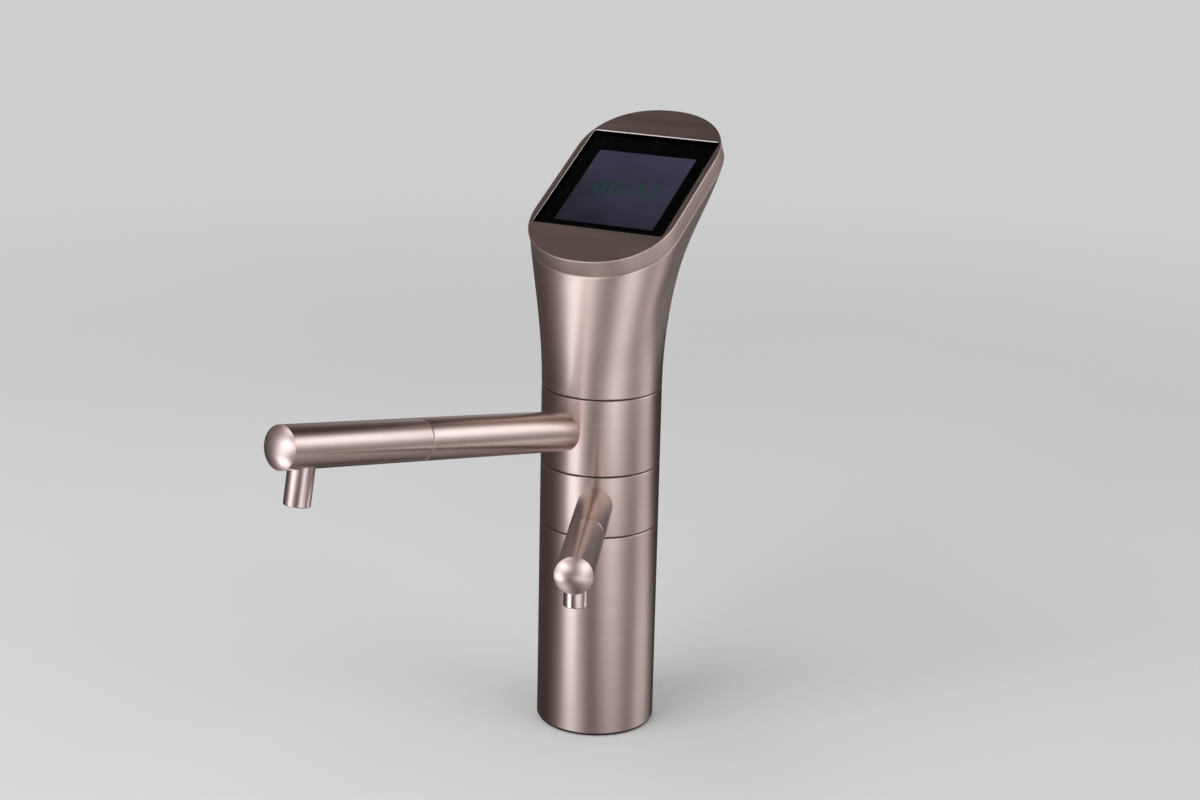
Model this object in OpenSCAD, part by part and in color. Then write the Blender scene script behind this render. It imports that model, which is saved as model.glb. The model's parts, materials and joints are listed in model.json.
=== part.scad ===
// Deck-mounted filter water faucet: a round column with two swivelling spouts
// and a flared head that carries a touch display.
// Frame: +Z up, origin where the column axis meets the deck, user's side at -Y.
// All sizes are in millimetres and degrees.

/* [Column] */
// Outer diameter of the base tube, both rings and the foot of the head
column_d = 54; // [50:1:58]
// Length of the base tube above the deck gasket
base_h = 95; // [70:1:140]
// Wall of the base tube
base_wall = 2.5; // [2:0.25:3]
// Height of the ring that carries the lower spout
lower_ring_h = 28; // [26:1:40]
// Height of the ring that carries the upper spout
upper_ring_h = 35; // [32:1:45]
// Chamfer on the outer edges of the tube and rings
edge_chamfer = 0.4; // [0.2:0.1:0.8]

/* [Stem] */
// Diameter of the journal that the rings turn on
journal_d = 36; // [35:0.5:37]
// Depth of the stem's foot inside the base tube
stem_foot_h = 16; // [12:1:24]
// Height of the water groove inside each ring
water_groove_h = 8; // [6:1:10]
// Depth of the water groove inside each ring
water_groove_depth = 1.5; // [1:0.25:2]
// Depth of the O-ring grooves in the journal
o_ring_groove_depth = 1.8; // [1.5:0.1:2.2]
// Distance from each ring's edge to the middle of its O-ring
o_ring_inset = 4.5; // [3.5:0.25:6]
// Thickness of the slip washers in the seams
slip_washer_t = 0.5; // [0.4:0.1:1]
// How far the slip washers sit inside the column's surface
slip_washer_inset = 0.8; // [0.5:0.1:1.5]
// Height of the nut that keeps the rings on the stem
retaining_nut_h = 9; // [7:0.5:10]
// Diameter of the thread for that nut
retaining_thread_d = 34; // [32:0.5:34.5]

/* [Upper spout] */
// Diameter of the upper spout's tube
upper_tube_d = 18; // [16:0.5:19]
// Distance along the tube from the column axis to the rim of the end cap
upper_reach = 196.5; // [160:0.5:240]
// Distance along the tube from the column axis to the seam
upper_split = 119; // [90:1:130]
// Angle at which the tube rises towards its tip
upper_rise = 10.7; // [5:0.1:14]
// Height of the tube's axis above the middle of the ring, at the column's surface
upper_lift = 1.5; // [-3:0.1:3]
// Angle of the tube from straight ahead, towards the left
upper_turn = 14.9; // [0:0.1:90]
// Distance from the rim of the end cap back to the nozzle's axis
upper_nozzle_back = 12.8; // [12:0.1:20]
// Outer diameter of the nozzle
upper_nozzle_d = 11; // [9:0.5:12]
// Length of nozzle below the tube
upper_nozzle_l = 14.7; // [8:0.1:20]

/* [Lower spout] */
// Diameter of the lower spout's tube
lower_tube_d = 16; // [14:0.5:17]
// Distance along the tube from the column axis to the rim of the end cap
lower_reach = 127.4; // [105:0.1:160]
// Distance along the tube from the column axis to the seam
lower_split = 72.5; // [60:0.5:80]
// Angle at which the tube rises towards its tip
lower_rise = 3.2; // [0:0.1:6]
// Height of the tube's axis above the middle of the ring, at the column's surface
lower_lift = 0.8; // [-2:0.1:2]
// Angle of the tube from straight ahead, towards the right
lower_turn = 20.5; // [0:0.1:90]
// Distance from the rim of the end cap back to the nozzle's axis
lower_nozzle_back = 11; // [11:0.1:18]
// Outer diameter of the nozzle
lower_nozzle_d = 10; // [8:0.5:10.5]
// Length of nozzle below the tube
lower_nozzle_l = 8.2; // [5:0.1:16]

/* [Spout tubes] */
// Wall of the spout tubes
tube_wall = 1.2; // [1:0.1:1.5]
// Depth of the tube's socket in its ring
socket_depth = 4.5; // [3:0.25:5]
// Chamfer on each side of the seam between the tube halves
seam_chamfer = 0.5; // [0.2:0.1:0.8]
// Length of the threaded coupling on each side of the seam
coupling_half_l = 12; // [9:0.5:16]
// Wall of the coupling
coupling_wall = 1.6; // [1.4:0.1:2]
// Slope of the domed end cap where it meets the rim
dome_slope = 37; // [20:1:45]
// Length of the end cap's plug inside the tube
cap_plug_l = 5; // [3:0.25:5]
// Wall of the nozzles
nozzle_wall = 1.2; // [1:0.1:1.5]
// How much slimmer the nozzle's neck is where it enters the tube
nozzle_neck = 0.2; // [0.1:0.05:0.4]
// Length of that neck outside the tube
nozzle_neck_l = 0.5; // [0.3:0.1:1]
// How deep the flow disc sits inside the nozzle's mouth
flow_disc_depth = 1; // [0.5:0.1:2]
// Thickness of the flow disc
flow_disc_t = 2.5; // [1.5:0.1:4]
// Diameter of each water hole in the flow disc
flow_hole_d = 1.6; // [1:0.1:1.9]

/* [Head] */
// Slope of the display face, rear edge up
head_tilt = 26.4; // [20:0.2:32]
// Height of the middle of the cover above the head's foot
head_rise = 87.5; // [80:0.5:110]
// Distance of the middle of the cover behind the column axis
head_setback = 20.5; // [14:0.5:24]
// Width of the cover
cover_w = 68.3; // [68:0.1:74]
// Length of the cover up the slope
cover_l = 113.4; // [108:0.2:124]
// Height of the cover's rim
cover_t = 8; // [7:0.25:10]
// Wall of the cover's rim
cover_wall = 2.2; // [1.8:0.1:2.4]
// Chamfer round the top edge of the cover
cover_chamfer = 0.6; // [0.3:0.1:1]
// Fullness of the cover's rounded ends: 2 is a half circle, more is squarer
cover_fullness = 2.2; // [2:0.05:2.6]
// How far the shell's top edge stands outside the cover's rim
shell_step = 0.35; // [0.1:0.05:0.6]
// Wall of the head shell
shell_wall = 3.4; // [3.2:0.1:4]
// Length over which the shell's rear line leaves the column upright
flare_start = 81; // [50:1:85]
// Length over which the rear line turns into the cover's rim
flare_end = 32; // [20:1:40]
// Angle of the rear line from upright where it meets the rim
flare_angle = 28.6; // [20:0.2:40]
// Length over which the front line turns, at its foot and at the rim
front_turn = 27; // [10:1:30]
// Rate at which the width grows: 1 is steady, 2 keeps the foot slender
width_rate = 1.95; // [1.5:0.05:2.5]

/* [Display] */
// Width of the cover's face on each side of the display glass
side_border = 3.2; // [2.9:0.1:5]
// Length of the cover's face in front of the display glass
front_border = 23.5; // [20:0.1:26]
// Length of the cover's face behind the display glass
rear_border = 20.3; // [18:0.1:24]
// Thickness of the display glass
glass_t = 1.8; // [1.2:0.1:2]
// Corner radius of the display glass
glass_corner = 1.2; // [0.5:0.1:3]
// How deep the glass lies below the cover's face
glass_sink = 0.65; // [0.3:0.05:1]
// Clearance round the glass in its recess
glass_gap = 0.2; // [0.1:0.05:0.4]
// Thickness of the adhesive gasket under the glass
glass_gasket_t = 0.3; // [0.2:0.05:0.5]
// Width of the ledge that carries the glass
ledge_w = 5.6; // [5.4:0.1:6]
// Thickness of the ledge that carries the glass
ledge_t = 1.75; // [1.5:0.05:2]
// Thickness of the LCD panel
lcd_t = 2.6; // [2:0.1:3]
// Gap between the LCD panel and the edge of the window
lcd_gap = 0.3; // [0.2:0.05:0.6]
// Thickness of the carrier behind the panel
carrier_t = 1.6; // [1.4:0.1:2]
// Height of the posts between carrier and control board
board_post_h = 3.75; // [3:0.25:6]
// Thickness of the control board
board_t = 1.6; // [1.2:0.1:2]
// How far the control board's sides lie inside the window
board_side_in = 3.5; // [3:0.1:6]
// How far the control board's ends run past the window
board_end_past = 5; // [3:0.1:6]
// Width and length of the square chip on the control board
chip_w = 14; // [8:0.5:18]
// Height of the chips
chip_t = 1.2; // [0.8:0.1:1.4]
// Width of the cable socket
socket_w = 12; // [8:0.5:16]
// Depth of the cable socket across its width
socket_l = 6; // [5:0.25:8]
// Height of the cable socket
socket_h = 6; // [4:0.25:7]
// Wall of the cable socket
socket_wall = 0.8; // [0.6:0.1:1]

/* [Head screws] */
// Thread diameter of the countersunk screws that hold the cover
cover_screw_d = 2.5; // [2:0.1:2.6]
// Length of the cover screws
cover_screw_l = 8; // [7:0.25:10]
// Diameter of the bosses for the cover screws
cover_boss_d = 6.6; // [6.4:0.1:6.8]
// Thread diameter of the screws in the carrier and the board
small_screw_d = 2; // [1.6:0.1:2.2]
// Diameter of the set screw at the back of the head
set_screw_d = 4; // [3:0.5:5]

/* [Below the deck] */
// Thickness of the deck gasket above the deck
deck_gasket_t = 1; // [0.8:0.1:2]
// How far the gasket's edge sits inside the base tube's surface
deck_gasket_inset = 0.8; // [0.5:0.1:1.5]
// Diameter of the gasket's lip, which centres the faucet in a 35 mm hole
deck_lip_d = 34.6; // [34:0.1:34.8]
// Length of that lip below the deck
deck_lip_h = 2.5; // [2:0.1:4]
// Thickness of the deck that the nut is set for
deck_t = 12; // [8:1:20]
// Thread diameter of the shank
shank_d = 32; // [30:0.5:32.5]
// Length of the shank below the deck
shank_l = 55; // [50:1:80]
// Wall of the shank
shank_wall = 2.8; // [2.4:0.1:3]
// Height of the plug that joins shank and base tube
base_plug_h = 12; // [10:1:20]
// Diameter of the washers under the deck
deck_washer_d = 48; // [44:1:54]
// Thickness of the rubber washer under the deck
rubber_washer_t = 3; // [2:0.5:4]
// Thickness of the steel washer under the deck
steel_washer_t = 2; // [1.5:0.25:3]
// Width of the deck nut across its flats
deck_nut_flats = 46; // [42:1:50]
// Height of the deck nut
deck_nut_h = 10; // [8:0.5:14]
// Depth of the rubber grommet inside the shank
grommet_h = 8; // [6:0.5:12]
// Thickness of the grommet's flange under the shank
grommet_flange_t = 2; // [1.5:0.25:3]

/* [Inlets] */
// Outer diameter of the inlet tube for the upper spout
upper_inlet_d = 9.5; // [8:0.1:9.6]
// Outer diameter of the inlet tube for the lower spout
lower_inlet_d = 8; // [6:0.1:9]
// Wall of the inlet tubes
inlet_wall = 1.25; // [1:0.05:1.5]
// Distance between the axes of the two inlet tubes
inlet_spread = 15; // [14.5:0.1:15.6]
// Distance of both inlet tubes behind the column axis
inlet_back = 2.5; // [1.5:0.1:3]
// Depth of each inlet tube's socket in the stem
inlet_socket = 8; // [6:0.5:10]
// Length of inlet tube between the grommet and its tail
inlet_run = 8; // [5:0.5:20]
// Height of the collar that joins a tail to its tube
tail_collar_h = 8; // [6:0.5:12]
// Wall of that collar
tail_collar_wall = 1.8; // [1.5:0.1:2.2]
// Length of the plain spigot that a hose fitting pushes onto
tail_spigot_l = 18; // [15:0.5:25]
// Diameter of the way for the display cable
cable_bore_d = 6.4; // [5:0.1:7]
// Distance of the cable way in front of the column axis
cable_front = 8; // [7.5:0.1:9]

/* [Fits] */
// Radial clearance of the rings on the journal
running_gap = 0.05; // [0.03:0.01:0.08]
// Clearance between pieces that are brazed, screwed or pushed together
seat_gap = 0.04; // [0.02:0.01:0.06]
// Clearance of washers and grommet over what they surround
loose_gap = 0.4; // [0.2:0.05:0.5]

/* [Hidden] */
$fn = 96;

// Colours
nickel = "#c2aea3";
dark_nickel = "#8a7a72";
brass = "#b9975b";
steel = "#a9a9ab";
black_rubber = "#1d1d1f";
white_polymer = "#e8e6e0";
black_glass = "#08080c";
screen_blue = "#2c2c3a";
black_plastic = "#26262a";
board_green = "#1f5a3a";

// A cut runs this far past the face that it opens
past = 1;

// Column radii and levels
column_r = column_d / 2;
base_bore_r = column_r - base_wall;
journal_r = journal_d / 2;
ring_bore_r = journal_r + running_gap;
base_top = deck_gasket_t + base_h;
lower_ring_z = base_top + slip_washer_t;
lower_ring_top = lower_ring_z + lower_ring_h;
upper_ring_z = lower_ring_top + slip_washer_t;
upper_ring_top = upper_ring_z + upper_ring_h;
head_foot = upper_ring_top + slip_washer_t;
nut_seat_z = head_foot + running_gap;
nut_let_in = 0.3;
nut_r = column_r - shell_wall + nut_let_in;
nut_pocket_r = nut_r + seat_gap;
stem_foot_z = base_top - stem_foot_h;
lower_outlet_z = lower_ring_z + lower_ring_h / 2;
upper_outlet_z = upper_ring_z + upper_ring_h / 2;
outlet_r = 3;

// O-rings, drawn squeezed between the groove's floor and the ring's bore
o_ring_floor_r = journal_r - o_ring_groove_depth;
o_ring_touch = 0.01;
o_ring_r = (ring_bore_r - o_ring_floor_r) / 2 - o_ring_touch;
o_ring_mid_r = (ring_bore_r + o_ring_floor_r) / 2;
o_ring_groove_w = 2.6;
lower_o_ring_levels = [lower_ring_z + o_ring_inset, lower_ring_top - o_ring_inset];
upper_o_ring_levels = [upper_ring_z + o_ring_inset, upper_ring_top - o_ring_inset];

// Water and cable ways through stem, column and shank
upper_inlet_r = upper_inlet_d / 2;
lower_inlet_r = lower_inlet_d / 2;
upper_way = [-inlet_spread / 2, inlet_back];
lower_way = [inlet_spread / 2, inlet_back];
cable_way = [0, -cable_front];
cable_r = cable_bore_d / 2;

// Below the deck
shank_r = shank_d / 2;
shank_bore_r = shank_r - shank_wall;
deck_lip_r = deck_lip_d / 2;
rubber_washer_z = -deck_t - rubber_washer_t;
steel_washer_z = rubber_washer_z - steel_washer_t;
deck_nut_z = steel_washer_z - deck_nut_h;
shank_foot = -shank_l;
grommet_foot = shank_foot - grommet_flange_t;
tail_top = grommet_foot - inlet_run;

// Each spout is one list: tube radius, reach, seam, rise, heading, height on the
// column axis, distance of the nozzle's axis, nozzle radius, nozzle length
straight_ahead = -90;
upper_spout = [
  upper_tube_d / 2, upper_reach, upper_split, upper_rise, straight_ahead - upper_turn,
  upper_outlet_z - column_r * tan(upper_rise) + upper_lift, upper_reach - upper_nozzle_back,
  upper_nozzle_d / 2, upper_nozzle_l
];
lower_spout = [
  lower_tube_d / 2, lower_reach, lower_split, lower_rise, straight_ahead + lower_turn,
  lower_outlet_z - column_r * tan(lower_rise) + lower_lift, lower_reach - lower_nozzle_back,
  lower_nozzle_d / 2, lower_nozzle_l
];
function tube_r(s) = s[0];
function rim_at(s) = s[1];
function seam_at(s) = s[2];
function rise_of(s) = s[3];
function heading_of(s) = s[4];
function axis_height(s) = s[5];
function nozzle_at(s) = s[6];
function nozzle_r(s) = s[7];
function nozzle_l(s) = s[8];
function bore_r(s) = s[0] - tube_wall;
socket_at = column_r - socket_depth;
seal_groove_w = 2;
seal_groove_depth = 0.9;

// Head: the cover's outline and the shell's front and rear lines
head_h = head_foot + head_rise;
half_w = cover_w / 2;
half_l = cover_l / 2;
outline_arc_steps = 30;
outline_min_flat = 0.03;
flare_rings = 20;
shell_half_w = half_w + shell_step;
// A point of the head's middle plane, v up the slope and w above the cover's face
function face_point(v, w) = [
  head_setback + v * cos(head_tilt) - w * sin(head_tilt),
  head_h + v * sin(head_tilt) + w * cos(head_tilt)
];
front_foot = [-column_r, head_foot];
rear_foot = [column_r, head_foot];
front_rim = face_point(-half_l - shell_step, -cover_t);
rear_rim = face_point(half_l + shell_step, -cover_t);
front_line = [front_foot, front_foot + [0, front_turn], front_rim - [0, front_turn], front_rim];
rear_line = [
  rear_foot, rear_foot + [0, flare_start],
  rear_rim - flare_end * [sin(flare_angle), cos(flare_angle)], rear_rim
];
front_rate = 0.94;
function bezier(p, t) =
  pow(1 - t, 3) * p[0] + 3 * pow(1 - t, 2) * t * p[1] + 3 * (1 - t) * t * t * p[2] + pow(t, 3) * p[3];

// Display stack, as depths below the cover's face
glass_w = cover_w - 2 * side_border;
glass_l = cover_l - front_border - rear_border;
glass_shift = (front_border - rear_border) / 2;
glass_top = -glass_sink;
glass_back = glass_top - glass_t;
ledge_top = glass_back - glass_gasket_t;
ledge_back = ledge_top - ledge_t;
lcd_back = glass_back - lcd_t;
carrier_back = lcd_back - carrier_t;
board_top = carrier_back - board_post_h;
board_back = board_top - board_t;
recess_w = glass_w + 2 * glass_gap;
recess_l = glass_l + 2 * glass_gap;
window_w = recess_w - 2 * ledge_w;
window_l = recess_l - 2 * ledge_w;
board_w = window_w - 2 * board_side_in;
board_l = window_l + 2 * board_end_past;
cover_screw_in = 1;
cover_screw_x = window_w / 2 + ledge_w / 2;
cover_screw_y = window_l / 2 + ledge_w / 2 - cover_screw_in;
carrier_screw_out = 2.4;
carrier_screw_end = 9;
carrier_screw_x = window_w / 2 + carrier_screw_out;
carrier_screw_y = window_l / 2 - carrier_screw_end;
board_screw_in = 3;
board_screw_x = board_w / 2 - board_screw_in;
board_screw_y = board_l / 2 - board_screw_in;
corners = [[-1, -1], [1, -1], [1, 1], [-1, 1]];
cover_boss_h = 14;
board_corner = 2;
chip_corner = 0.5;

// Screws
cover_screw_r = cover_screw_d / 2;
cover_head_r = cover_screw_r * 1.9;
cover_head_h = cover_screw_r;
small_screw_r = small_screw_d / 2;
small_head_r = small_screw_r * 1.9;
small_head_h = 1.2;
set_screw_r = set_screw_d / 2;
set_screw_z = nut_seat_z + retaining_nut_h / 2;
set_screw_bite = 1.8;
set_screw_sink = 0.5;
driver_depth = 0.7;

// Flat ring of stock
module annulus(outer, inner, h) {
  difference() {
    cylinder(r = outer, h = h);
    translate([0, 0, -past]) cylinder(r = inner, h = h + 2 * past);
  }
}

// Round bar or tube along +X
module bar(r, from, to) {
  translate([from, 0, 0]) rotate([0, 90, 0]) cylinder(r = r, h = to - from);
}
module turned(profile) {
  rotate([0, 90, 0]) rotate_extrude() polygon(profile);
}

// Rectangle with round corners, centred
module round_rect(w, l, r) {
  square([w - 2 * r, l], center = true);
  square([w, l - 2 * r], center = true);
  for (c = corners) translate([c[0] * (w / 2 - r), c[1] * (l / 2 - r)]) circle(r = r);
}

module plate(w, l, r, top, back) {
  translate([0, 0, back]) linear_extrude(top - back) round_rect(w, l, r);
}

// Frame of the cover: X across, Y up the slope, Z out of the face
module head_frame() {
  translate([0, head_setback, head_h]) rotate([head_tilt, 0, 0]) children();
}
module glass_frame() {
  head_frame() translate([0, glass_shift, 0]) children();
}

// Frame of a spout: X along the tube, Z across it and upwards
module spout_frame(s) {
  translate([0, 0, axis_height(s)])
    rotate([0, 0, heading_of(s)]) rotate([0, -rise_of(s), 0]) children();
}
module nozzle_frame(s) {
  spout_frame(s) translate([nozzle_at(s), 0, 0]) mirror([0, 0, 1]) children();
}

// Outline of the cover or of a section of the shell: two rounded ends joined by
// straight sides. Half width, half length and fullness of the ends.
function full(c, e) = sign(c) * pow(abs(c), 2 / e);
function end_arc(hw, flat, e, from) = [
  for (i = [0 : outline_arc_steps])
    let (a = from + 180 * i / outline_arc_steps)
      [hw * full(cos(a), e), hw * full(sin(a), e) + (from == 0 ? flat : -flat)]
];
function outline(hw, hl, e) =
  let (flat = max(hl - hw, outline_min_flat))
    concat(end_arc(hw, flat, e, 0), end_arc(hw, flat, e, 180));

// Solid through a list of outlines with the same number of points
function skin_faces(rings, m) = concat(
  [[for (j = [0 : m - 1]) j]],
  [for (i = [0 : rings - 2], j = [0 : m - 1], k = [0, 1])
    let (a = i * m + j, b = i * m + (j + 1) % m)
      k == 0 ? [a, a + m, b + m] : [a, b + m, b]],
  [[for (j = [m - 1 : -1 : 0]) (rings - 1) * m + j]]
);
module skin(rings) {
  polyhedron(points = [for (r = rings) each r], faces = skin_faces(len(rings), len(rings[0])));
}
function at_height(pts, w) = [for (p = pts) [p[0], p[1], w]];

// Section t of the head shell, 0 at the foot and 1 at the rim, drawn in by inset
function shell_section(t, inset) =
  let (f = bezier(front_line, pow(t, front_rate)),
       b = bezier(rear_line, t),
       mid = (f + b) / 2,
       along = (b - f) / norm(b - f),
       hw = column_r + (shell_half_w - column_r) * pow(t, width_rate),
       hl = max(norm(b - f) / 2, hw),
       e = 2 + (cover_fullness - 2) * t)
    [for (p = outline(hw - inset, hl - inset, e))
      [p[0], mid[0] + p[1] * along[0], mid[1] + p[1] * along[1]]];
function moved(pts, d) = [for (p = pts) p + d];
rim_normal = [0, -sin(head_tilt), cos(head_tilt)];

module flared_body(inset, foot_past, rim_past) {
  sections = [for (i = [0 : flare_rings]) shell_section(i / flare_rings, inset)];
  skin(concat(
    foot_past > 0 ? [moved(sections[0], [0, 0, -foot_past])] : [],
    sections,
    rim_past > 0 ? [moved(sections[flare_rings], rim_past * rim_normal)] : []
  ));
}

// Pieces at and below the deck
module deck_gasket() {
  color(black_rubber) {
    annulus(column_r - deck_gasket_inset, shank_r + loose_gap, deck_gasket_t);
    translate([0, 0, -deck_lip_h]) annulus(deck_lip_r, shank_r + loose_gap, deck_lip_h);
  }
}

module base_tube() {
  color(nickel) translate([0, 0, deck_gasket_t]) rotate_extrude() polygon([
    [base_bore_r, 0], [column_r - edge_chamfer, 0], [column_r, edge_chamfer],
    [column_r, base_h - edge_chamfer], [column_r - edge_chamfer, base_h], [base_bore_r, base_h]
  ]);
}

module base_plug() {
  color(brass) translate([0, 0, deck_gasket_t])
    annulus(base_bore_r - seat_gap, shank_r + seat_gap, base_plug_h);
}

module threaded_shank() {
  color(brass) translate([0, 0, shank_foot])
    annulus(shank_r, shank_bore_r, shank_l + deck_gasket_t + base_plug_h);
}

module deck_rubber_washer() {
  color(black_rubber) translate([0, 0, rubber_washer_z])
    annulus(deck_washer_d / 2, shank_r + loose_gap, rubber_washer_t);
}

module deck_steel_washer() {
  color(steel) translate([0, 0, steel_washer_z])
    annulus(deck_washer_d / 2, shank_r + loose_gap, steel_washer_t);
}

module deck_nut() {
  corner_r = deck_nut_flats / 2 / cos(30);
  color(brass) translate([0, 0, deck_nut_z]) difference() {
    cylinder(r = corner_r, h = deck_nut_h, $fn = 6);
    translate([0, 0, -past]) cylinder(r = shank_r + seat_gap, h = deck_nut_h + 2 * past);
  }
}

module shank_grommet() {
  color(black_rubber) difference() {
    union() {
      translate([0, 0, shank_foot]) cylinder(r = shank_bore_r - seat_gap, h = grommet_h);
      translate([0, 0, grommet_foot]) cylinder(r = shank_r - seat_gap, h = grommet_flange_t);
    }
    drill(upper_way, upper_inlet_r + seat_gap);
    drill(lower_way, lower_inlet_r + seat_gap);
    drill(cable_way, cable_r);
  }
}
module drill(at, r) {
  translate([at[0], at[1], grommet_foot - past])
    cylinder(r = r, h = grommet_flange_t + grommet_h + 2 * past);
}

// Inlet tubes and the tails that hoses push onto
module inlet_tube(at, r) {
  h = stem_foot_z + inlet_socket - tail_top;
  color(steel) translate([at[0], at[1], tail_top]) annulus(r, r - inlet_wall, h);
}
module inlet_tail(at, r) {
  grip = tail_collar_h / 2;
  color(brass) translate([at[0], at[1], tail_top]) difference() {
    union() {
      translate([0, 0, grip - tail_collar_h])
        cylinder(r = r + tail_collar_wall, h = tail_collar_h);
      translate([0, 0, grip - tail_collar_h - tail_spigot_l])
        cylinder(r = r, h = tail_spigot_l);
    }
    cylinder(r = r + seat_gap, h = grip + past);
    translate([0, 0, grip - tail_collar_h - tail_spigot_l - past])
      cylinder(r = r - inlet_wall, h = tail_collar_h + tail_spigot_l + 2 * past);
  }
}
module upper_inlet_tube() { inlet_tube(upper_way, upper_inlet_r); }
module lower_inlet_tube() { inlet_tube(lower_way, lower_inlet_r); }
module upper_inlet_tail() { inlet_tail(upper_way, upper_inlet_r); }
module lower_inlet_tail() { inlet_tail(lower_way, lower_inlet_r); }

// The stem: foot in the base tube, journal for the rings, thread for the nut,
// a blind water way for each spout and a cable way right through
module water_way(at, tube, outlet_z, side) {
  translate([at[0], at[1], stem_foot_z - past]) {
    cylinder(r = tube + seat_gap, h = inlet_socket + past);
    cylinder(r = tube - inlet_wall, h = outlet_z + outlet_r - stem_foot_z + past);
  }
  translate([at[0], at[1], outlet_z])
    rotate([0, side * 90, 0]) cylinder(r = outlet_r, h = journal_r);
}
module o_ring_groove(z) {
  translate([0, 0, z - o_ring_groove_w / 2])
    annulus(journal_r + past, o_ring_floor_r, o_ring_groove_w);
}
module stem() {
  nut_top = nut_seat_z + retaining_nut_h;
  color(brass) difference() {
    union() {
      translate([0, 0, stem_foot_z]) cylinder(r = base_bore_r - seat_gap, h = stem_foot_h);
      translate([0, 0, base_top]) cylinder(r = journal_r, h = nut_seat_z - base_top);
      translate([0, 0, nut_seat_z])
        cylinder(r = retaining_thread_d / 2, h = nut_top - nut_seat_z);
    }
    water_way(upper_way, upper_inlet_r, upper_outlet_z, -1);
    water_way(lower_way, lower_inlet_r, lower_outlet_z, 1);
    translate([cable_way[0], cable_way[1], stem_foot_z - past])
      cylinder(r = cable_r, h = nut_top - stem_foot_z + 2 * past);
    for (z = concat(lower_o_ring_levels, upper_o_ring_levels)) o_ring_groove(z);
  }
}

module o_rings(levels) {
  color(black_rubber) for (z = levels)
    translate([0, 0, z]) rotate_extrude() translate([o_ring_mid_r, 0]) circle(r = o_ring_r);
}
module upper_o_rings() { o_rings(upper_o_ring_levels); }
module lower_o_rings() { o_rings(lower_o_ring_levels); }

module slip_washer(z) {
  color(black_plastic) translate([0, 0, z])
    annulus(column_r - slip_washer_inset, journal_r + seat_gap, slip_washer_t);
}
module base_slip_washer() { slip_washer(base_top); }
module middle_slip_washer() { slip_washer(lower_ring_top); }
module head_slip_washer() { slip_washer(upper_ring_top); }

// Nut with four slots for a pin spanner
module retaining_nut() {
  slot_w = 4;
  slot_depth = 3;
  color(brass) difference() {
    translate([0, 0, nut_seat_z])
      annulus(nut_r, retaining_thread_d / 2 + seat_gap, retaining_nut_h);
    set_screw_way(nut_r - set_screw_bite, nut_r + past);
    for (a = [0 : 90 : 270]) rotate([0, 0, a])
      translate([nut_r - 4, -slot_w / 2, nut_seat_z + retaining_nut_h - slot_depth])
        cube([4 + past, slot_w, slot_depth + past]);
  }
}
module set_screw_way(from, to) {
  translate([0, from, set_screw_z]) rotate([-90, 0, 0])
    cylinder(r = set_screw_r + seat_gap, h = to - from);
}

// Rings and spouts
module ring(s, z, h, outlet_z) {
  slide = running_gap;
  color(nickel) difference() {
    translate([0, 0, z]) rotate_extrude() polygon([
      [ring_bore_r, slide], [column_r - edge_chamfer, slide], [column_r, slide + edge_chamfer],
      [column_r, h - slide - edge_chamfer], [column_r - edge_chamfer, h - slide],
      [ring_bore_r, h - slide]
    ]);
    translate([0, 0, outlet_z - water_groove_h / 2])
      cylinder(r = ring_bore_r + water_groove_depth, h = water_groove_h);
    spout_frame(s) {
      bar(tube_r(s) + seat_gap, socket_at, column_r + tube_r(s));
      bar(bore_r(s) - coupling_wall, journal_r / 2, column_r);
    }
  }
}
module upper_ring() { ring(upper_spout, upper_ring_z, upper_ring_h, upper_outlet_z); }
module lower_ring() { ring(lower_spout, lower_ring_z, lower_ring_h, lower_outlet_z); }

module root_tube(s) {
  r = tube_r(s);
  color(nickel) spout_frame(s) turned([
    [bore_r(s), socket_at], [r, socket_at], [r, seam_at(s) - seam_chamfer],
    [r - seam_chamfer, seam_at(s)], [bore_r(s), seam_at(s)]
  ]);
}
module upper_root_tube() { root_tube(upper_spout); }
module lower_root_tube() { root_tube(lower_spout); }

// Threaded sleeve that joins the two halves of a spout, with a seal on the outer one
module coupling(s) {
  r = bore_r(s) - seat_gap;
  seal_at = seam_at(s) + coupling_half_l / 2;
  color(brass) spout_frame(s) difference() {
    bar(r, seam_at(s) - coupling_half_l, seam_at(s) + coupling_half_l);
    bar(r - coupling_wall, 0, rim_at(s));
    difference() {
      bar(r + past, seal_at, seal_at + seal_groove_w);
      bar(r - seal_groove_depth, 0, rim_at(s));
    }
  }
}
module upper_coupling() { coupling(upper_spout); }
module lower_coupling() { coupling(lower_spout); }

module coupling_seal(s) {
  floor_r = bore_r(s) - seat_gap - seal_groove_depth;
  section_r = (bore_r(s) - floor_r) / 2 - o_ring_touch;
  seal_mid = seam_at(s) + coupling_half_l / 2 + seal_groove_w / 2;
  color(black_rubber) spout_frame(s) translate([seal_mid, 0, 0]) rotate([0, 90, 0])
    rotate_extrude() translate([(bore_r(s) + floor_r) / 2, 0]) circle(r = section_r, $fn = 32);
}
module upper_coupling_seal() { coupling_seal(upper_spout); }
module lower_coupling_seal() { coupling_seal(lower_spout); }

module front_tube(s) {
  r = tube_r(s);
  color(nickel) difference() {
    spout_frame(s) turned([
      [bore_r(s), seam_at(s)], [r - seam_chamfer, seam_at(s)], [r, seam_at(s) + seam_chamfer],
      [r, rim_at(s)], [bore_r(s), rim_at(s)]
    ]);
    nozzle_frame(s) cylinder(r = nozzle_r(s) - nozzle_neck + seat_gap, h = r + past);
  }
}
module upper_front_tube() { front_tube(upper_spout); }
module lower_front_tube() { front_tube(lower_spout); }

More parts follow.
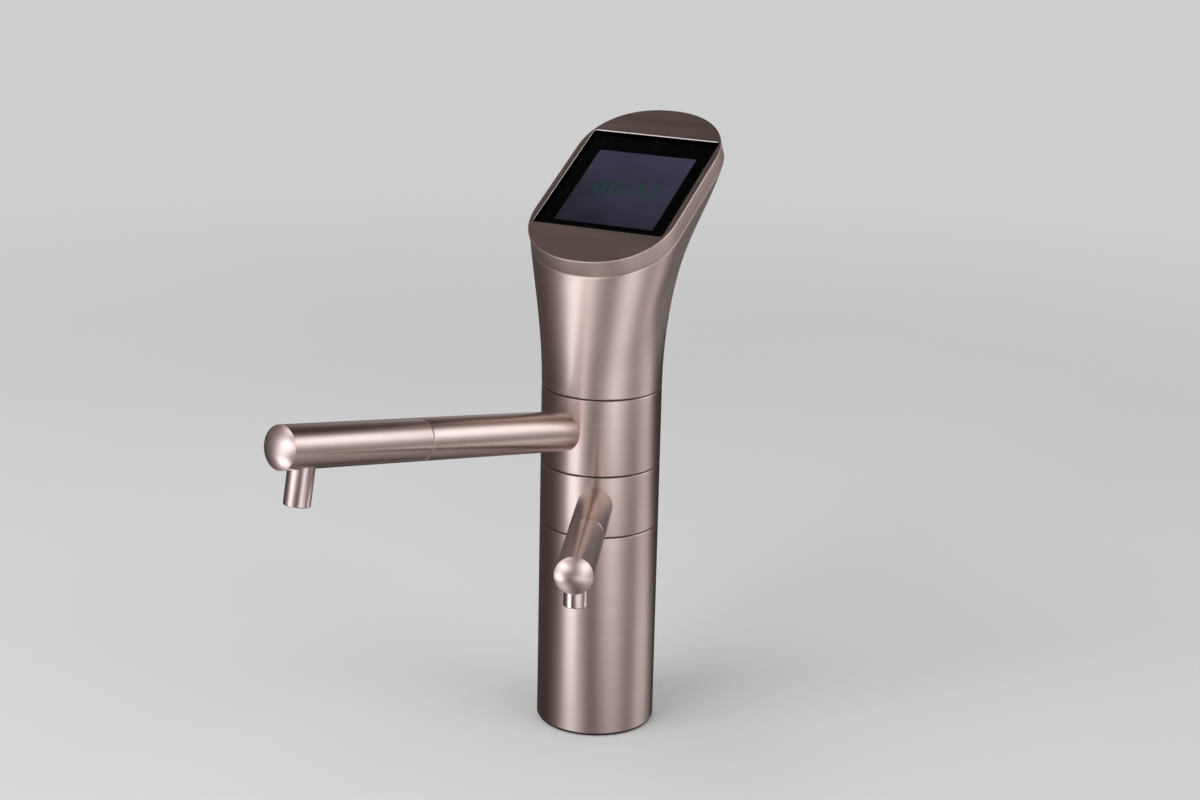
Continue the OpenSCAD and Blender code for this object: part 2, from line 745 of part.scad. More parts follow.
// Domed cap: a slice of a ball on a plug
module end_cap(s) {
  r = tube_r(s);
  ball_r = r / sin(dome_slope);
  color(nickel) spout_frame(s) {
    bar(bore_r(s) - seat_gap, rim_at(s) - cap_plug_l, rim_at(s));
    intersection() {
      translate([rim_at(s) - ball_r * cos(dome_slope), 0, 0]) rotate([0, 90, 0]) sphere(r = ball_r);
      bar(r, rim_at(s), rim_at(s) + ball_r);
    }
  }
}
module upper_end_cap() { end_cap(upper_spout); }
module lower_end_cap() { end_cap(lower_spout); }

// Nozzle: its neck goes through the tube's wall, flush with the bore
module nozzle(s) {
  r = nozzle_r(s);
  neck_top = tube_r(s) + nozzle_neck_l;
  mouth = tube_r(s) + nozzle_l(s);
  color(nickel) difference() {
    nozzle_frame(s) rotate_extrude() polygon([
      [r - nozzle_wall, 0], [r - nozzle_neck, 0], [r - nozzle_neck, neck_top],
      [r, neck_top], [r, mouth - edge_chamfer],
      [r - edge_chamfer, mouth], [r - nozzle_wall, mouth]
    ]);
    spout_frame(s) bar(bore_r(s), nozzle_at(s) - 2 * r, nozzle_at(s) + 2 * r);
  }
}
module upper_nozzle() { nozzle(upper_spout); }
module lower_nozzle() { nozzle(lower_spout); }

// Disc with a ring of water holes that calms the jet
module flow_disc(s) {
  r = nozzle_r(s) - nozzle_wall - seat_gap;
  face = tube_r(s) + nozzle_l(s) - flow_disc_depth;
  color(white_polymer) nozzle_frame(s) translate([0, 0, face - flow_disc_t]) difference() {
    cylinder(r = r, h = flow_disc_t);
    translate([0, 0, -past]) {
      cylinder(d = flow_hole_d, h = flow_disc_t + 2 * past);
      for (a = [0 : 60 : 300]) rotate([0, 0, a]) translate([r * 0.6, 0, 0])
        cylinder(d = flow_hole_d, h = flow_disc_t + 2 * past);
    }
  }
}
module upper_flow_disc() { flow_disc(upper_spout); }
module lower_flow_disc() { flow_disc(lower_spout); }

// Head shell: one flared casting, open at the foot for the nut and at the rim for
// the display, with four bosses for the cover's screws
module cover_bosses(r, top, back) {
  glass_frame() for (c = corners)
    translate([c[0] * cover_screw_x, c[1] * cover_screw_y, back]) cylinder(r = r, h = top - back);
}
module head_shell() {
  color(nickel) difference() {
    union() {
      difference() {
        flared_body(0, 0, 0);
        flared_body(shell_wall, past, past);
        translate([0, 0, head_foot - past])
          cylinder(r = nut_pocket_r, h = retaining_nut_h + 2 * past);
      }
      intersection() {
        cover_bosses(cover_boss_d / 2, ledge_back, ledge_back - cover_boss_h);
        flared_body(shell_step + cover_wall + loose_gap, 0, cover_t);
      }
    }
    cover_bosses(cover_screw_r + seat_gap, ledge_back + past, ledge_top - cover_screw_l - past);
    set_screw_way(nut_r - past, column_r + past);
  }
}

module head_set_screw() {
  tip = nut_r - set_screw_bite;
  tail = column_r - set_screw_sink;
  color(steel) translate([0, tip, set_screw_z]) rotate([-90, 0, 0]) difference() {
    cylinder(r = set_screw_r, h = tail - tip);
    translate([0, 0, tail - tip - driver_depth * 2])
      cylinder(r = set_screw_r / 2, h = driver_depth * 2 + past, $fn = 6);
  }
}

// Cover: rim and face in one, with a recess for the glass and a window for the LCD
module head_cover() {
  color(dark_nickel) difference() {
    head_frame() difference() {
      skin([
        at_height(outline(half_w, half_l, cover_fullness), -cover_t),
        at_height(outline(half_w, half_l, cover_fullness), -cover_chamfer),
        at_height(outline(half_w - cover_chamfer, half_l - cover_chamfer, cover_fullness), 0)
      ]);
      translate([0, 0, -cover_t - past]) linear_extrude(cover_t + ledge_back + past)
        polygon(outline(half_w - cover_wall, half_l - cover_wall, cover_fullness));
    }
    glass_frame() {
      plate(recess_w, recess_l, glass_corner + glass_gap, past, ledge_top);
      plate(window_w, window_l, glass_corner, 0, ledge_back - past);
      for (c = corners) {
        translate([c[0] * cover_screw_x, c[1] * cover_screw_y, 0]) {
          translate([0, 0, ledge_back - past]) cylinder(r = cover_screw_r + seat_gap, h = cover_t);
          translate([0, 0, ledge_top - cover_head_h - seat_gap]) countersink(seat_gap);
        }
        translate([c[0] * carrier_screw_x, c[1] * carrier_screw_y, ledge_back - past])
          cylinder(r = small_screw_r + seat_gap, h = past + ledge_t / 2);
      }
    }
  }
}
module countersink(gap) {
  rotate_extrude() polygon([
    [0, 0], [cover_screw_r + gap, 0], [cover_head_r + gap, cover_head_h + gap], [0, cover_head_h + gap]
  ]);
}

module cover_screws() {
  color(steel) glass_frame() for (c = corners)
    translate([c[0] * cover_screw_x, c[1] * cover_screw_y, ledge_top]) difference() {
      union() {
        translate([0, 0, -cover_head_h]) countersink(0);
        translate([0, 0, -cover_screw_l]) cylinder(r = cover_screw_r, h = cover_screw_l - cover_head_h);
      }
      translate([0, 0, -driver_depth]) cylinder(r = cover_screw_r * 0.7, h = past, $fn = 6);
    }
}

// Display stack
module display_glass() {
  color(black_glass) glass_frame() plate(glass_w, glass_l, glass_corner, glass_top, glass_back);
}

module glass_gasket() {
  margin = 1;
  color(black_rubber) glass_frame() difference() {
    plate(glass_w - margin, glass_l - margin, glass_corner, glass_back, ledge_top);
    plate(window_w + margin, window_l + margin, glass_corner, glass_back + past, ledge_top - past);
  }
}

module lcd_panel() {
  color(screen_blue) glass_frame()
    plate(window_w - 2 * lcd_gap, window_l - 2 * lcd_gap, glass_corner, glass_back, lcd_back);
}

// Carrier: presses the panel against the glass and holds the board on four posts
module display_carrier() {
  ear_w = 2 * (carrier_screw_x + small_head_r + 0.6);
  ear_l = 2 * (carrier_screw_y + small_head_r + 0.6);
  post_r = small_screw_r + 1.2;
  color(black_plastic) glass_frame() difference() {
    union() {
      plate(board_w, board_l, board_corner, lcd_back, carrier_back);
      plate(ear_w, ear_l, board_corner, lcd_back, carrier_back);
      for (c = corners) {
        translate([c[0] * board_screw_x, c[1] * board_screw_y, board_top])
          cylinder(r = post_r, h = board_post_h);
        translate([c[0] * carrier_screw_x, c[1] * carrier_screw_y, lcd_back])
          cylinder(r = small_head_r, h = ledge_back - lcd_back);
      }
    }
    for (c = corners) {
      translate([c[0] * board_screw_x, c[1] * board_screw_y, board_top - past])
        cylinder(r = small_screw_r + seat_gap, h = board_post_h + past);
      translate([c[0] * carrier_screw_x, c[1] * carrier_screw_y, carrier_back - past])
        cylinder(r = small_screw_r + seat_gap, h = carrier_t + lcd_t + 2 * past);
    }
  }
}

// Pan-head screw, its head below z = 0 and its shank above
module small_screw(l) {
  difference() {
    union() {
      translate([0, 0, -small_head_h]) cylinder(r = small_head_r, h = small_head_h);
      cylinder(r = small_screw_r, h = l);
    }
    translate([0, 0, -small_head_h - past])
      cylinder(r = small_screw_r * 0.6, h = past + driver_depth, $fn = 6);
  }
}
module carrier_screws() {
  reach = ledge_back - carrier_back + ledge_t / 2 - 0.1;
  color(steel) glass_frame() for (c = corners)
    translate([c[0] * carrier_screw_x, c[1] * carrier_screw_y, carrier_back]) small_screw(reach);
}

module control_board() {
  color(board_green) glass_frame() difference() {
    union() {
      plate(board_w, board_l, board_corner, board_top, board_back);
      plate(chip_w, chip_w, chip_corner, board_back, board_back - chip_t);
      translate([0, board_l / 4, 0])
        plate(chip_w * 2 / 3, chip_w / 2, chip_corner, board_back, board_back - chip_t);
    }
    for (c = corners) translate([c[0] * board_screw_x, c[1] * board_screw_y, board_back - past])
      cylinder(r = small_screw_r + seat_gap, h = board_t + 2 * past);
  }
}

module board_screws() {
  reach = board_t + board_post_h - 0.2;
  color(steel) glass_frame() for (c = corners)
    translate([c[0] * board_screw_x, c[1] * board_screw_y, board_back]) small_screw(reach);
}

// Socket on the board that the display cable plugs into, open downwards
module cable_socket() {
  color(white_polymer) glass_frame() translate([0, -board_l / 4, board_back]) difference() {
    plate(socket_w, socket_l, socket_wall / 2, 0, -socket_h);
    plate(socket_w - 2 * socket_wall, socket_l - 2 * socket_wall, socket_wall / 4,
          -socket_wall, -socket_h - past);
  }
}

deck_gasket();
base_tube();
base_plug();
threaded_shank();
deck_rubber_washer();
deck_steel_washer();
deck_nut();
shank_grommet();
upper_inlet_tube();
lower_inlet_tube();
upper_inlet_tail();
lower_inlet_tail();
stem();
upper_o_rings();
lower_o_rings();
base_slip_washer();
middle_slip_washer();
head_slip_washer();
retaining_nut();
head_shell();
head_set_screw();
head_cover();
cover_screws();
display_glass();
glass_gasket();
lcd_panel();
display_carrier();
carrier_screws();
control_board();
board_screws();
cable_socket();
upper_ring();
upper_root_tube();
upper_coupling();
upper_coupling_seal();
upper_front_tube();
upper_end_cap();
upper_nozzle();
upper_flow_disc();
lower_ring();
lower_root_tube();
lower_coupling();
lower_coupling_seal();
lower_front_tube();
lower_end_cap();
lower_nozzle();
lower_flow_disc();
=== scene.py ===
import json
import math

import bpy
from mathutils import Matrix, Vector
from mathutils.geometry import tessellate_polygon


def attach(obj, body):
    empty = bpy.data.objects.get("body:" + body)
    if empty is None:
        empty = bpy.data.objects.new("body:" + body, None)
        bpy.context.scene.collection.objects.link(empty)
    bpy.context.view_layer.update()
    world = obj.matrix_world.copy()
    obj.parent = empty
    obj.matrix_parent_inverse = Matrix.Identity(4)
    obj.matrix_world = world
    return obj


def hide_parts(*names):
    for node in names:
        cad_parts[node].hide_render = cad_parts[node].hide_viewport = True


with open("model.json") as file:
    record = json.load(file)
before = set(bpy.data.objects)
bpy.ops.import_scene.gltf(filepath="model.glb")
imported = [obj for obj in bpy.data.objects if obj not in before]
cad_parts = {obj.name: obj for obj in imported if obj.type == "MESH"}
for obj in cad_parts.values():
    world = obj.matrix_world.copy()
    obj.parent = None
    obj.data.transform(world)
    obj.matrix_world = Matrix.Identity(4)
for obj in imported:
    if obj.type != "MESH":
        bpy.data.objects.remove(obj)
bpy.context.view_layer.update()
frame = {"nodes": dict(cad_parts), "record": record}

NODES = frame["nodes"]
MM = 0.001
MM_PER_METRE = 1000.0

# ---------------------------------------------------------------- sizes, in millimetres and degrees
# column, from the deck up; EDGE rounds its outer edges
COLUMN_R = 27.0
BASE_BORE_R = 24.5
BASE_Z = (1.0, 96.0)
LOWER_RING_Z = (96.55, 124.45)
UPPER_RING_Z = (125.05, 159.95)
RING_BORE_R = 18.05
HEAD_FOOT = 160.5
EDGE = 0.4

# spouts; socket, seam and rim are places along the tube, measured from the column's axis
TUBE_WALL = 1.2
SOCKET_AT = 22.5
SEAM_EDGE = 0.5
DOME_SLOPE = 37.0
DOME_TIP_R = 0.2
DOME_TIP_DROP = 0.001
CAP_PLUG = 5.0
CAP_GAP = 0.04
NOZZLE_WALL = 1.2
NOZZLE_ROOT = 1.5
NOZZLE_OUTER_EDGE = 0.45
NOZZLE_INNER_EDGE = 0.3
UPPER = dict(name="upper", body="upper_spout", r=9.0, rim=196.5, seam=119.0, rise=10.7,
             heading=-104.9, ring_mid=142.5, drop=1.5, nozzle_back=12.8, nozzle_r=5.5,
             nozzle_l=14.7)
LOWER = dict(name="lower", body="lower_spout", r=8.0, rim=127.4, seam=72.5, rise=3.2,
             heading=-69.5, ring_mid=110.5, drop=0.8, nozzle_back=11.0, nozzle_r=5.0,
             nozzle_l=8.2)

# head; the middle of its tilted face lies HEAD_SETBACK behind the column's axis
HEAD_TILT = 26.4
HEAD_RISE = 87.5
HEAD_H = HEAD_FOOT + HEAD_RISE
HEAD_SETBACK = 20.5
COVER_W = 68.3
COVER_L = 113.4
COVER_HALF_W = COVER_W / 2
COVER_HALF_L = COVER_L / 2
COVER_T = 8.0
COVER_WALL = 2.2
COVER_EDGE = 0.6
COVER_FULLNESS = 2.2
SHELL_STEP = 0.35
SHELL_WALL = 3.4
RIM_EDGE = 0.45

# handles of the curves up the shell's rear and front, the rear one's lean at the rim, and how
# soon front and width leave the foot
FLARE_START = 81.0
FLARE_END = 32.0
FLARE_ANGLE = 28.6
FRONT_TURN = 27.0
FRONT_RATE = 0.94
WIDTH_RATE = 1.95
FOOT_SHARE = 0.008

# display; heights are over the cover's face, lifts over the back of the CAD's glass
GLASS_W = 61.9
GLASS_L = 69.6
GLASS_T = 1.8
GLASS_CORNER = 1.2
GLASS_EDGE = 0.25
GLASS_SINK = 0.65
GLASS_SHIFT = 1.6
GLASS_GAP = 0.2
GASKET_T = 0.3
LEDGE_W = 5.6
LEDGE_T = 1.75
LEDGE_TOP = -(GLASS_SINK + GLASS_T + GASKET_T)
LEDGE_BACK = LEDGE_TOP - LEDGE_T
RECESS_EDGE = 0.55
LCD_W = 50.5
LCD_L = 58.2
SCREEN_W = 47.6
SCREEN_L = 52.6
SCREEN_CORNER = 0.4
SCREEN_SHIFT = (0.4, -3.3)
GLASS_LIFT = 0.45
MASK_LIFT = 0.34
DIGIT_LIFT = 0.22
SCREEN_LIFT = 0.12
DIGIT_W = 4.7
DIGIT_H = 8.2
DIGIT_PEN = 1.25
DIGIT_SLANT = 0.08
DIGIT_PLACES = (-12.6, -4.7, 5.2, 13.1)
ZERO_FULLNESS = 2.6
TWO_BOW_START = 165
TWO_BOW_TURN = 205
TWO_FOOT = 0.5

# ---------------------------------------------------------------- fineness of the meshes
COLUMN_SEGMENTS = 192
TUBE_SEGMENTS = 128
NOZZLE_SEGMENTS = 96
CORNER_STEPS = 5
ARC_STEPS = 4
DOME_STEPS = 14
OUTLINE_STEPS = 64
RECT_STEPS = 6
SHELL_OUTER_STEPS = 72
SHELL_INNER_STEPS = 24
SHELL_U_RING = 40
SHORTEST_V = 0.01
SHORTEST_SIDE = 0.03
ZERO_POINTS = 40
TWO_BOW_STEPS = 20
SHARP = 32.0
SHARP_LOFT = 40.0
SURROUND_AROUND = 48
SURROUND_HIGH = 24

# ---------------------------------------------------------------- finish
NICKEL_TONE = (0.62, 0.485, 0.438)
NOISE_RANGE = (0.3, 0.7)
BRUSH_TURN = 0.25
BRUSH_CLOUD = (12.0, 90.0, 1.0)
BRUSH_RELIEF = 0.0001
PLAIN_RELIEF = 0.0002
PRINT_BLACK = ((0.0010, 0.0010, 0.0011), (0.0018, 0.0018, 0.0020))
UNDER_GLASS_ROUGH = (0.04, 0.06)
UNDER_GLASS_GLOSS = 0.07
PANE_COLOUR = (0.86, 0.86, 0.90, 1)
PANE_ROUGH = (0.015, 0.04)
PANE_IOR = 1.02
PANE_SMEAR = 60.0
# LCD glow colours: partly a low back light, partly painted light in place of the lamplight the
# glass keeps off
SCREEN_DARK = (0.0165, 0.0163, 0.0225)
SCREEN_LIGHT = (0.041, 0.040, 0.066)
SCREEN_CLOUD = 35.0
SCREEN_RISE = (("X", 7.0), ("Y", 15.0))
DIGIT_GREEN = (0.018, 0.048, 0.034)
DIGIT_DIM = 0.75
DIGIT_GRAIN = 2500.0

# ---------------------------------------------------------------- camera and studio
# camera, from the photograph's perspective, in millimetres, degrees and pixels
CAMERA = dict(radius=991.0, height=452.4, azimuth=24.825, yaw=-0.038, pitch=16.839, roll=1.255,
              focal_px=2302.9, width_px=1200.0)
SENSOR_W = 36.0
CLIP = (0.01, 50.0)

# studio, in metres and degrees; a turn is to the picture's right of the camera
STUDIO_CENTRE = (0, 0, 0.15)
FLOOR_REACH = 6.0
FLOOR_Z = -0.0003
FLOOR_TONE = 0.66
FLOOR_CLOUD = 0.01
FLOOR_CLOUD_SCALE = 3.0
FLOOR_ROUGH = 0.9
FLOOR_FADE = (0.45, 1.3)
BACKGROUND = (0.62, 0.62, 0.623)
WORLD_LIGHT = (0.62, 0.62, 0.62)
LAMP_SIZE = 1.2
LAMPS = (dict(name="key_left", turn=-51, lift=40, distance=1.6, power=14.0),
         dict(name="fill_right", turn=60, lift=35, distance=1.8, power=6.0))

# what the metal sees: rings of (lift, ((turn, level), ...)) with a soft change from stop to stop
# and ring to ring, times a strength by lift
SURROUND_RINGS = (
    (-43, ((-180, 1.5), (-167, 0.40), (-145, 0.30), (-118, 0.30), (-97, 0.60), (-80, 1.7),
          (-66, 3.4), (-51, 6.0), (-40, 6.8), (-28, 4.8), (-17, 2.2), (-8, 1.4), (6, 1.1),
          (20, 1.9), (34, 3.1), (47, 2.9), (60, 1.8), (72, 1.7), (90, 3.6), (105, 3.6), (121, 1.0),
          (146, 0.20), (166, 0.30), (180, 1.5))),
    (-34, ((-180, 1.5), (-167, 0.40), (-145, 0.30), (-118, 0.30), (-97, 0.45), (-80, 1.1),
          (-66, 1.7), (-51, 2.5), (-40, 2.5), (-28, 1.6), (-17, 0.75), (-8, 0.55), (6, 0.80),
          (20, 1.8), (34, 2.8), (47, 2.3), (60, 1.55), (72, 1.6), (89, 4.2), (108, 4.6), (125, 1.8),
          (146, 0.20), (166, 0.30), (180, 1.5))),
    (-20, ((-180, 0.90), (-167, 0.25), (-145, 0.20), (-118, 0.20), (-100, 0.28), (-83, 0.50),
          (-69, 1.4), (-56, 9.5), (-45, 12.0), (-34, 2.4), (-23, 0.40), (-12, 0.60), (-2, 1.4),
          (12, 3.2), (25, 3.9), (37, 3.2), (50, 2.0), (63, 0.85), (75, 0.70), (93, 1.5), (108, 1.3),
          (124, 0.22), (165, 0.10), (180, 0.90))),
    (-15, ((-180, 0.90), (-167, 0.25), (-145, 0.20), (-118, 0.20), (-100, 0.28), (-83, 0.60),
          (-69, 1.7), (-57, 6.0), (-46, 5.6), (-37, 2.0), (-27, 0.25), (-16, 0.60), (-5, 2.0),
          (7, 4.2), (20, 3.3), (36, 1.5), (55, 0.70), (75, 0.70), (93, 1.4), (106, 0.80),
          (119, 0.10), (165, 0.10), (180, 0.90))),
    (-8, ((-180, 0.90), (-167, 0.30), (-135, 0.20), (-100, 0.24), (-82, 0.45), (-69, 1.0),
          (-56, 3.0), (-47, 3.3), (-38, 2.2), (-29, 1.0), (-20, 0.50), (-10, 0.40), (1, 0.80),
          (12, 1.9), (24, 3.0), (36, 2.1), (50, 1.1), (64, 0.85), (80, 1.3), (94, 1.5), (107, 0.55),
          (120, 0.12), (165, 0.12), (180, 0.90))),
    (12, ((-180, 0.80), (-150, 0.20), (-130, 0.20), (-103, 0.22), (-86, 0.30), (-71, 0.60),
          (-60, 1.25), (-49, 2.8), (-39, 3.3), (-30, 2.6), (-19, 1.4), (-10, 0.60), (-1, 0.45),
          (10, 1.3), (24, 2.7), (36, 2.3), (50, 1.3), (65, 1.1), (80, 1.7), (92, 2.8), (101, 2.5),
          (110, 0.90), (121, 0.25), (145, 0.08), (180, 0.80))),
    (30, ((-180, 0.20), (-130, 0.20), (-100, 0.22), (-75, 0.35), (-60, 0.60), (-46, 0.90),
          (-30, 0.50), (0, 0.40), (12, 1.0), (25, 1.5), (40, 1.2), (62, 1.2), (80, 1.7), (95, 3.2),
          (112, 2.3), (128, 0.80), (142, 0.12), (180, 0.10))),
    (44, ((-180, 0.30), (-110, 0.40), (-85, 0.90), (-65, 2.6), (-45, 4.5), (-25, 2.6), (-5, 0.70),
          (30, 0.90), (70, 1.0), (95, 1.8), (125, 0.60), (150, 0.15), (180, 0.30))),
    (58, ((-180, 0.90), (-152, 1.2), (-110, 1.0), (-40, 0.70), (60, 0.60), (120, 0.30), (150, 0.15),
          (172, 0.50), (180, 0.90))))
SURROUND_LIFT = ((-90, 0.10), (-55, 0.12), (-38, 0.185), (-33, 0.235), (-29, 0.29), (-17, 0.34),
                 (-8, 0.42), (4, 0.60), (15, 0.85), (24, 0.95), (36, 0.70), (45, 0.33), (55, 0.16),
                 (65, 0.13), (90, 0.10))
SURROUND_R = 0.6
ALL_TURNS = (-180, 180)
ALL_LIFTS = (-90, 90)

# green and blue of that light as shares of its red: in the dark, gain with light, at most
GREEN_SHARE = (0.83, 0.20, 1.07)
BLUE_SHARE = (0.80, 0.29, 1.15)


# ---------------------------------------------------------------- nodes
def plug(tree, target, inputs):
    """Links an input of the node where its value is a socket, else sets it."""
    for key, value in inputs.items():
        if isinstance(value, bpy.types.NodeSocket):
            tree.links.new(value, target.inputs[key])
        else:
            target.inputs[key].default_value = value


def add_node(tree, kind, inputs=None, **settings):
    made = tree.nodes.new(kind)
    for key, value in settings.items():
        setattr(made, key, value)
    plug(tree, made, inputs or {})
    return made


def math_node(tree, operation, *values):
    made = add_node(tree, "ShaderNodeMath", dict(enumerate(values)), operation=operation)
    return made.outputs[0]


def object_coords(tree):
    return add_node(tree, "ShaderNodeTexCoord").outputs["Object"]


def uv_coords(tree):
    return add_node(tree, "ShaderNodeUVMap", uv_map="UVMap").outputs[0]


def split_axes(tree, coords):
    return add_node(tree, "ShaderNodeSeparateXYZ", {0: coords}).outputs


def noise(tree, coords, scale, detail=3.0):
    """Noise in the coordinates; an uneven scale draws it out into streaks."""
    mapped = add_node(tree, "ShaderNodeMapping", {"Scale": scale, "Vector": coords})
    made = add_node(tree, "ShaderNodeTexNoise",
                    {"Scale": 1.0, "Detail": detail, "Vector": mapped.outputs[0]})
    return made.outputs[0]


def ramp(tree, value, low, high, places=NOISE_RANGE):
    made = add_node(tree, "ShaderNodeValToRGB", {0: value})
    for element, place, colour in zip(made.color_ramp.elements, places, (low, high)):
        element.position = place
        element.color = (*colour, 1)
    return made.outputs[0]


def to_range(tree, value, low, high):
    made = add_node(tree, "ShaderNodeMapRange",
                    {"From Min": NOISE_RANGE[0], "From Max": NOISE_RANGE[1],
                     "To Min": low, "To Max": high, "Value": value})
    return made.outputs[0]


def relief(tree, height, strength, depth):
    made = add_node(tree, "ShaderNodeBump",
                    {"Strength": strength, "Distance": depth, "Height": height})
    return made.outputs[0]


# ---------------------------------------------------------------- materials
def new_material(name):
    mat = bpy.data.materials.new(name)
    mat.use_nodes = True
    tree = mat.node_tree
    tree.nodes.clear()
    shader = add_node(tree, "ShaderNodeBsdfPrincipled")
    add_node(tree, "ShaderNodeOutputMaterial", {0: shader.outputs[0]})
    return mat, tree, shader


def brushed_metal(name, colour, rough, anisotropy, line=0.25, length=40.0, tone=0.03, cloud=0.05,
                  bump=0.012):
    """Metal brushed along U, the way round the piece; V runs along its axis.

    line and length are the size of a brush mark in millimetres, tone and cloud how far the
    colour wanders from mark to mark and over the whole piece.
    """
    mat, tree, shader = new_material(name)
    uv = uv_coords(tree)
    marks = noise(tree, uv, (MM_PER_METRE / length, MM_PER_METRE / line, 1.0))
    broad = noise(tree, uv, BRUSH_CLOUD, detail=2.0)
    fine_tone = ramp(tree, marks, [c * (1 - tone) for c in colour],
                     [min(c * (1 + tone), 1) for c in colour])
    wide_tone = ramp(tree, broad, [1 - cloud] * 3, [1.0] * 3)
    blend = add_node(tree, "ShaderNodeMixRGB", {0: 1.0, 1: fine_tone, 2: wide_tone},
                     blend_type="MULTIPLY")
    tangent = add_node(tree, "ShaderNodeTangent", direction_type="UV_MAP", uv_map="UVMap")
    plug(tree, shader, {"Base Color": blend.outputs[0],
                        "Roughness": to_range(tree, marks, *rough),
                        "Tangent": tangent.outputs[0],
                        "Normal": relief(tree, marks, bump, BRUSH_RELIEF),
                        "Metallic": 1.0,
                        "Anisotropic": anisotropy,
                        "Anisotropic Rotation": BRUSH_TURN})
    return mat


def plain_material(name, low, high, rough, metallic=0.0, scale=400.0, bump=0.05, specular=0.5):
    """Moulded, machined or rubber finish from noise in the object's own coordinates."""
    mat, tree, shader = new_material(name)
    grain = noise(tree, object_coords(tree), (scale, scale, scale), detail=4.0)
    plug(tree, shader, {"Base Color": ramp(tree, grain, low, high),
                        "Roughness": to_range(tree, grain, *rough),
                        "Normal": relief(tree, grain, bump, PLAIN_RELIEF),
                        "Metallic": metallic,
                        "Specular IOR Level": specular})
    return mat


def clear_glass(name):
    """Clear pane. Its gloss is given by what lies close under it, which renders with less noise."""
    mat, tree, shader = new_material(name)
    smear = noise(tree, object_coords(tree), [PANE_SMEAR] * 3, detail=2.0)
    plug(tree, shader, {"Base Color": PANE_COLOUR,
                        "Roughness": to_range(tree, smear, *PANE_ROUGH),
                        "Transmission Weight": 1.0,
                        "IOR": PANE_IOR})
    return mat


def screen_material(name):
    """LCD glow, partly a low back light and partly painted light in place of the lamplight that the
    glass keeps off: blue-grey, a little lighter towards the far right corner.
    """
    mat, tree, shader = new_material(name)
    uv = uv_coords(tree)
    axes = split_axes(tree, uv)
    cloud = noise(tree, uv, (SCREEN_CLOUD, SCREEN_CLOUD, 1.0), detail=2.0)
    level = cloud
    for axis, rise in SCREEN_RISE:
        level = math_node(tree, "MULTIPLY_ADD", axes[axis], rise, level)
    glow = ramp(tree, level, SCREEN_DARK, SCREEN_LIGHT, (0.0, 1.0))
    plug(tree, shader, {"Base Color": glow,
                        "Emission Color": glow,
                        "Emission Strength": 1.0,
                        "Roughness": to_range(tree, cloud, *UNDER_GLASS_ROUGH),
                        "Specular IOR Level": UNDER_GLASS_GLOSS})
    return mat


def lit_material(name, colour):
    """Segment of a display that glows in its own colour."""
    mat, tree, shader = new_material(name)
    grain = noise(tree, object_coords(tree), [DIGIT_GRAIN] * 3, detail=1.0)
    shade = ramp(tree, grain, [DIGIT_DIM * c for c in colour], colour)
    plug(tree, shader, {"Base Color": shade,
                        "Emission Color": shade,
                        "Emission Strength": 1.0,
                        "Roughness": 0.5,
                        "Specular IOR Level": 0.0})
    return mat


# brushed metals: colour, lowest and highest roughness, anisotropy
nickel = brushed_metal("satin_nickel", NICKEL_TONE, (0.31, 0.35), 0.80, line=0.45, tone=0.06)
tube_nickel = brushed_metal("tube_nickel", NICKEL_TONE, (0.29, 0.32), 0.60, bump=0.003)
# the head's nickel is the satin nickel painted lighter: painted light that brightens the flared
# head
head_nickel_painted_light = brushed_metal("head_nickel_painted_light", (0.68, 0.532, 0.480), (0.33, 0.37), 0.75,
                            line=0.45, tone=0.06)
rim_nickel = brushed_metal("rim_nickel", NICKEL_TONE, (0.42, 0.46), 0.0, line=0.45, tone=0.05)
cap_nickel = brushed_metal("satin_nickel_cap", (0.68, 0.540, 0.500), (0.27, 0.31), 0.1,
                           length=6.0)
polished = brushed_metal("bright_nickel", (0.70, 0.56, 0.52), (0.16, 0.19), 0.5)
# the cover's face: the satin nickel painted darker, with broad darker patches, painted shade on the
# tilted face
dark_nickel = brushed_metal("dark_nickel", (0.58, 0.46, 0.42), (0.33, 0.42), 0.6,
                            line=0.6, tone=0.08, cloud=0.28)

# plain materials: darkest and lightest colour, lowest and highest roughness
brass = plain_material("machined_brass", (0.50, 0.34, 0.13), (0.62, 0.44, 0.19), (0.25, 0.4),
                       metallic=1.0, scale=900.0)
steel = plain_material("plain_steel", (0.42, 0.42, 0.43), (0.55, 0.55, 0.56), (0.25, 0.4),
                       metallic=1.0, scale=900.0)
rubber = plain_material("black_rubber", (0.012, 0.012, 0.013), (0.024, 0.024, 0.026),
                        (0.6, 0.8))
black_plastic = plain_material("black_plastic", (0.014, 0.014, 0.016), (0.022, 0.022, 0.025),
                               (0.4, 0.55))
white_polymer = plain_material("white_polymer", (0.62, 0.61, 0.57), (0.72, 0.71, 0.67),
                               (0.35, 0.5))
board_green = plain_material("board_green", (0.02, 0.09, 0.04), (0.03, 0.13, 0.06),
                             (0.3, 0.45))
black_mask = plain_material("black_mask", *PRINT_BLACK, (0.35, 0.45), specular=0.0)
glass_print = plain_material("glass_print", *PRINT_BLACK, UNDER_GLASS_ROUGH, bump=0.001,
                             specular=UNDER_GLASS_GLOSS)
glass = clear_glass("display_glass")
screen = screen_material("lcd_screen")
digit_green = lit_material("digit_green", DIGIT_GREEN)

SLOT_MATERIAL = dict(satin_nickel=nickel, dark_nickel=dark_nickel, brass=brass, steel=steel,
                     black_rubber=rubber, black_plastic=black_plastic,
                     white_polymer=white_polymer, black_glass=glass, screen=screen,
                     circuit_board=board_green)


# ---------------------------------------------------------------- mesh helpers
def full_turn(count):
    return [2 * math.pi * k / count for k in range(count)]


def quarter_turn():
    """Angles through a rounded edge, from 0 to 90 degrees."""
    return [math.pi / 2 * k / ARC_STEPS for k in range(ARC_STEPS + 1)]


def path_lengths(points, shortest=0.0):
    """Way run at each point of a path, in metres, for the UV map."""
    out = [0.0]
    for p, q in zip(points, points[1:]):
        out.append(out[-1] + max((Vector(q) - Vector(p)).length, shortest) * MM)
    return out


def round_lengths(loop):
    return path_lengths(loop + loop[:1])


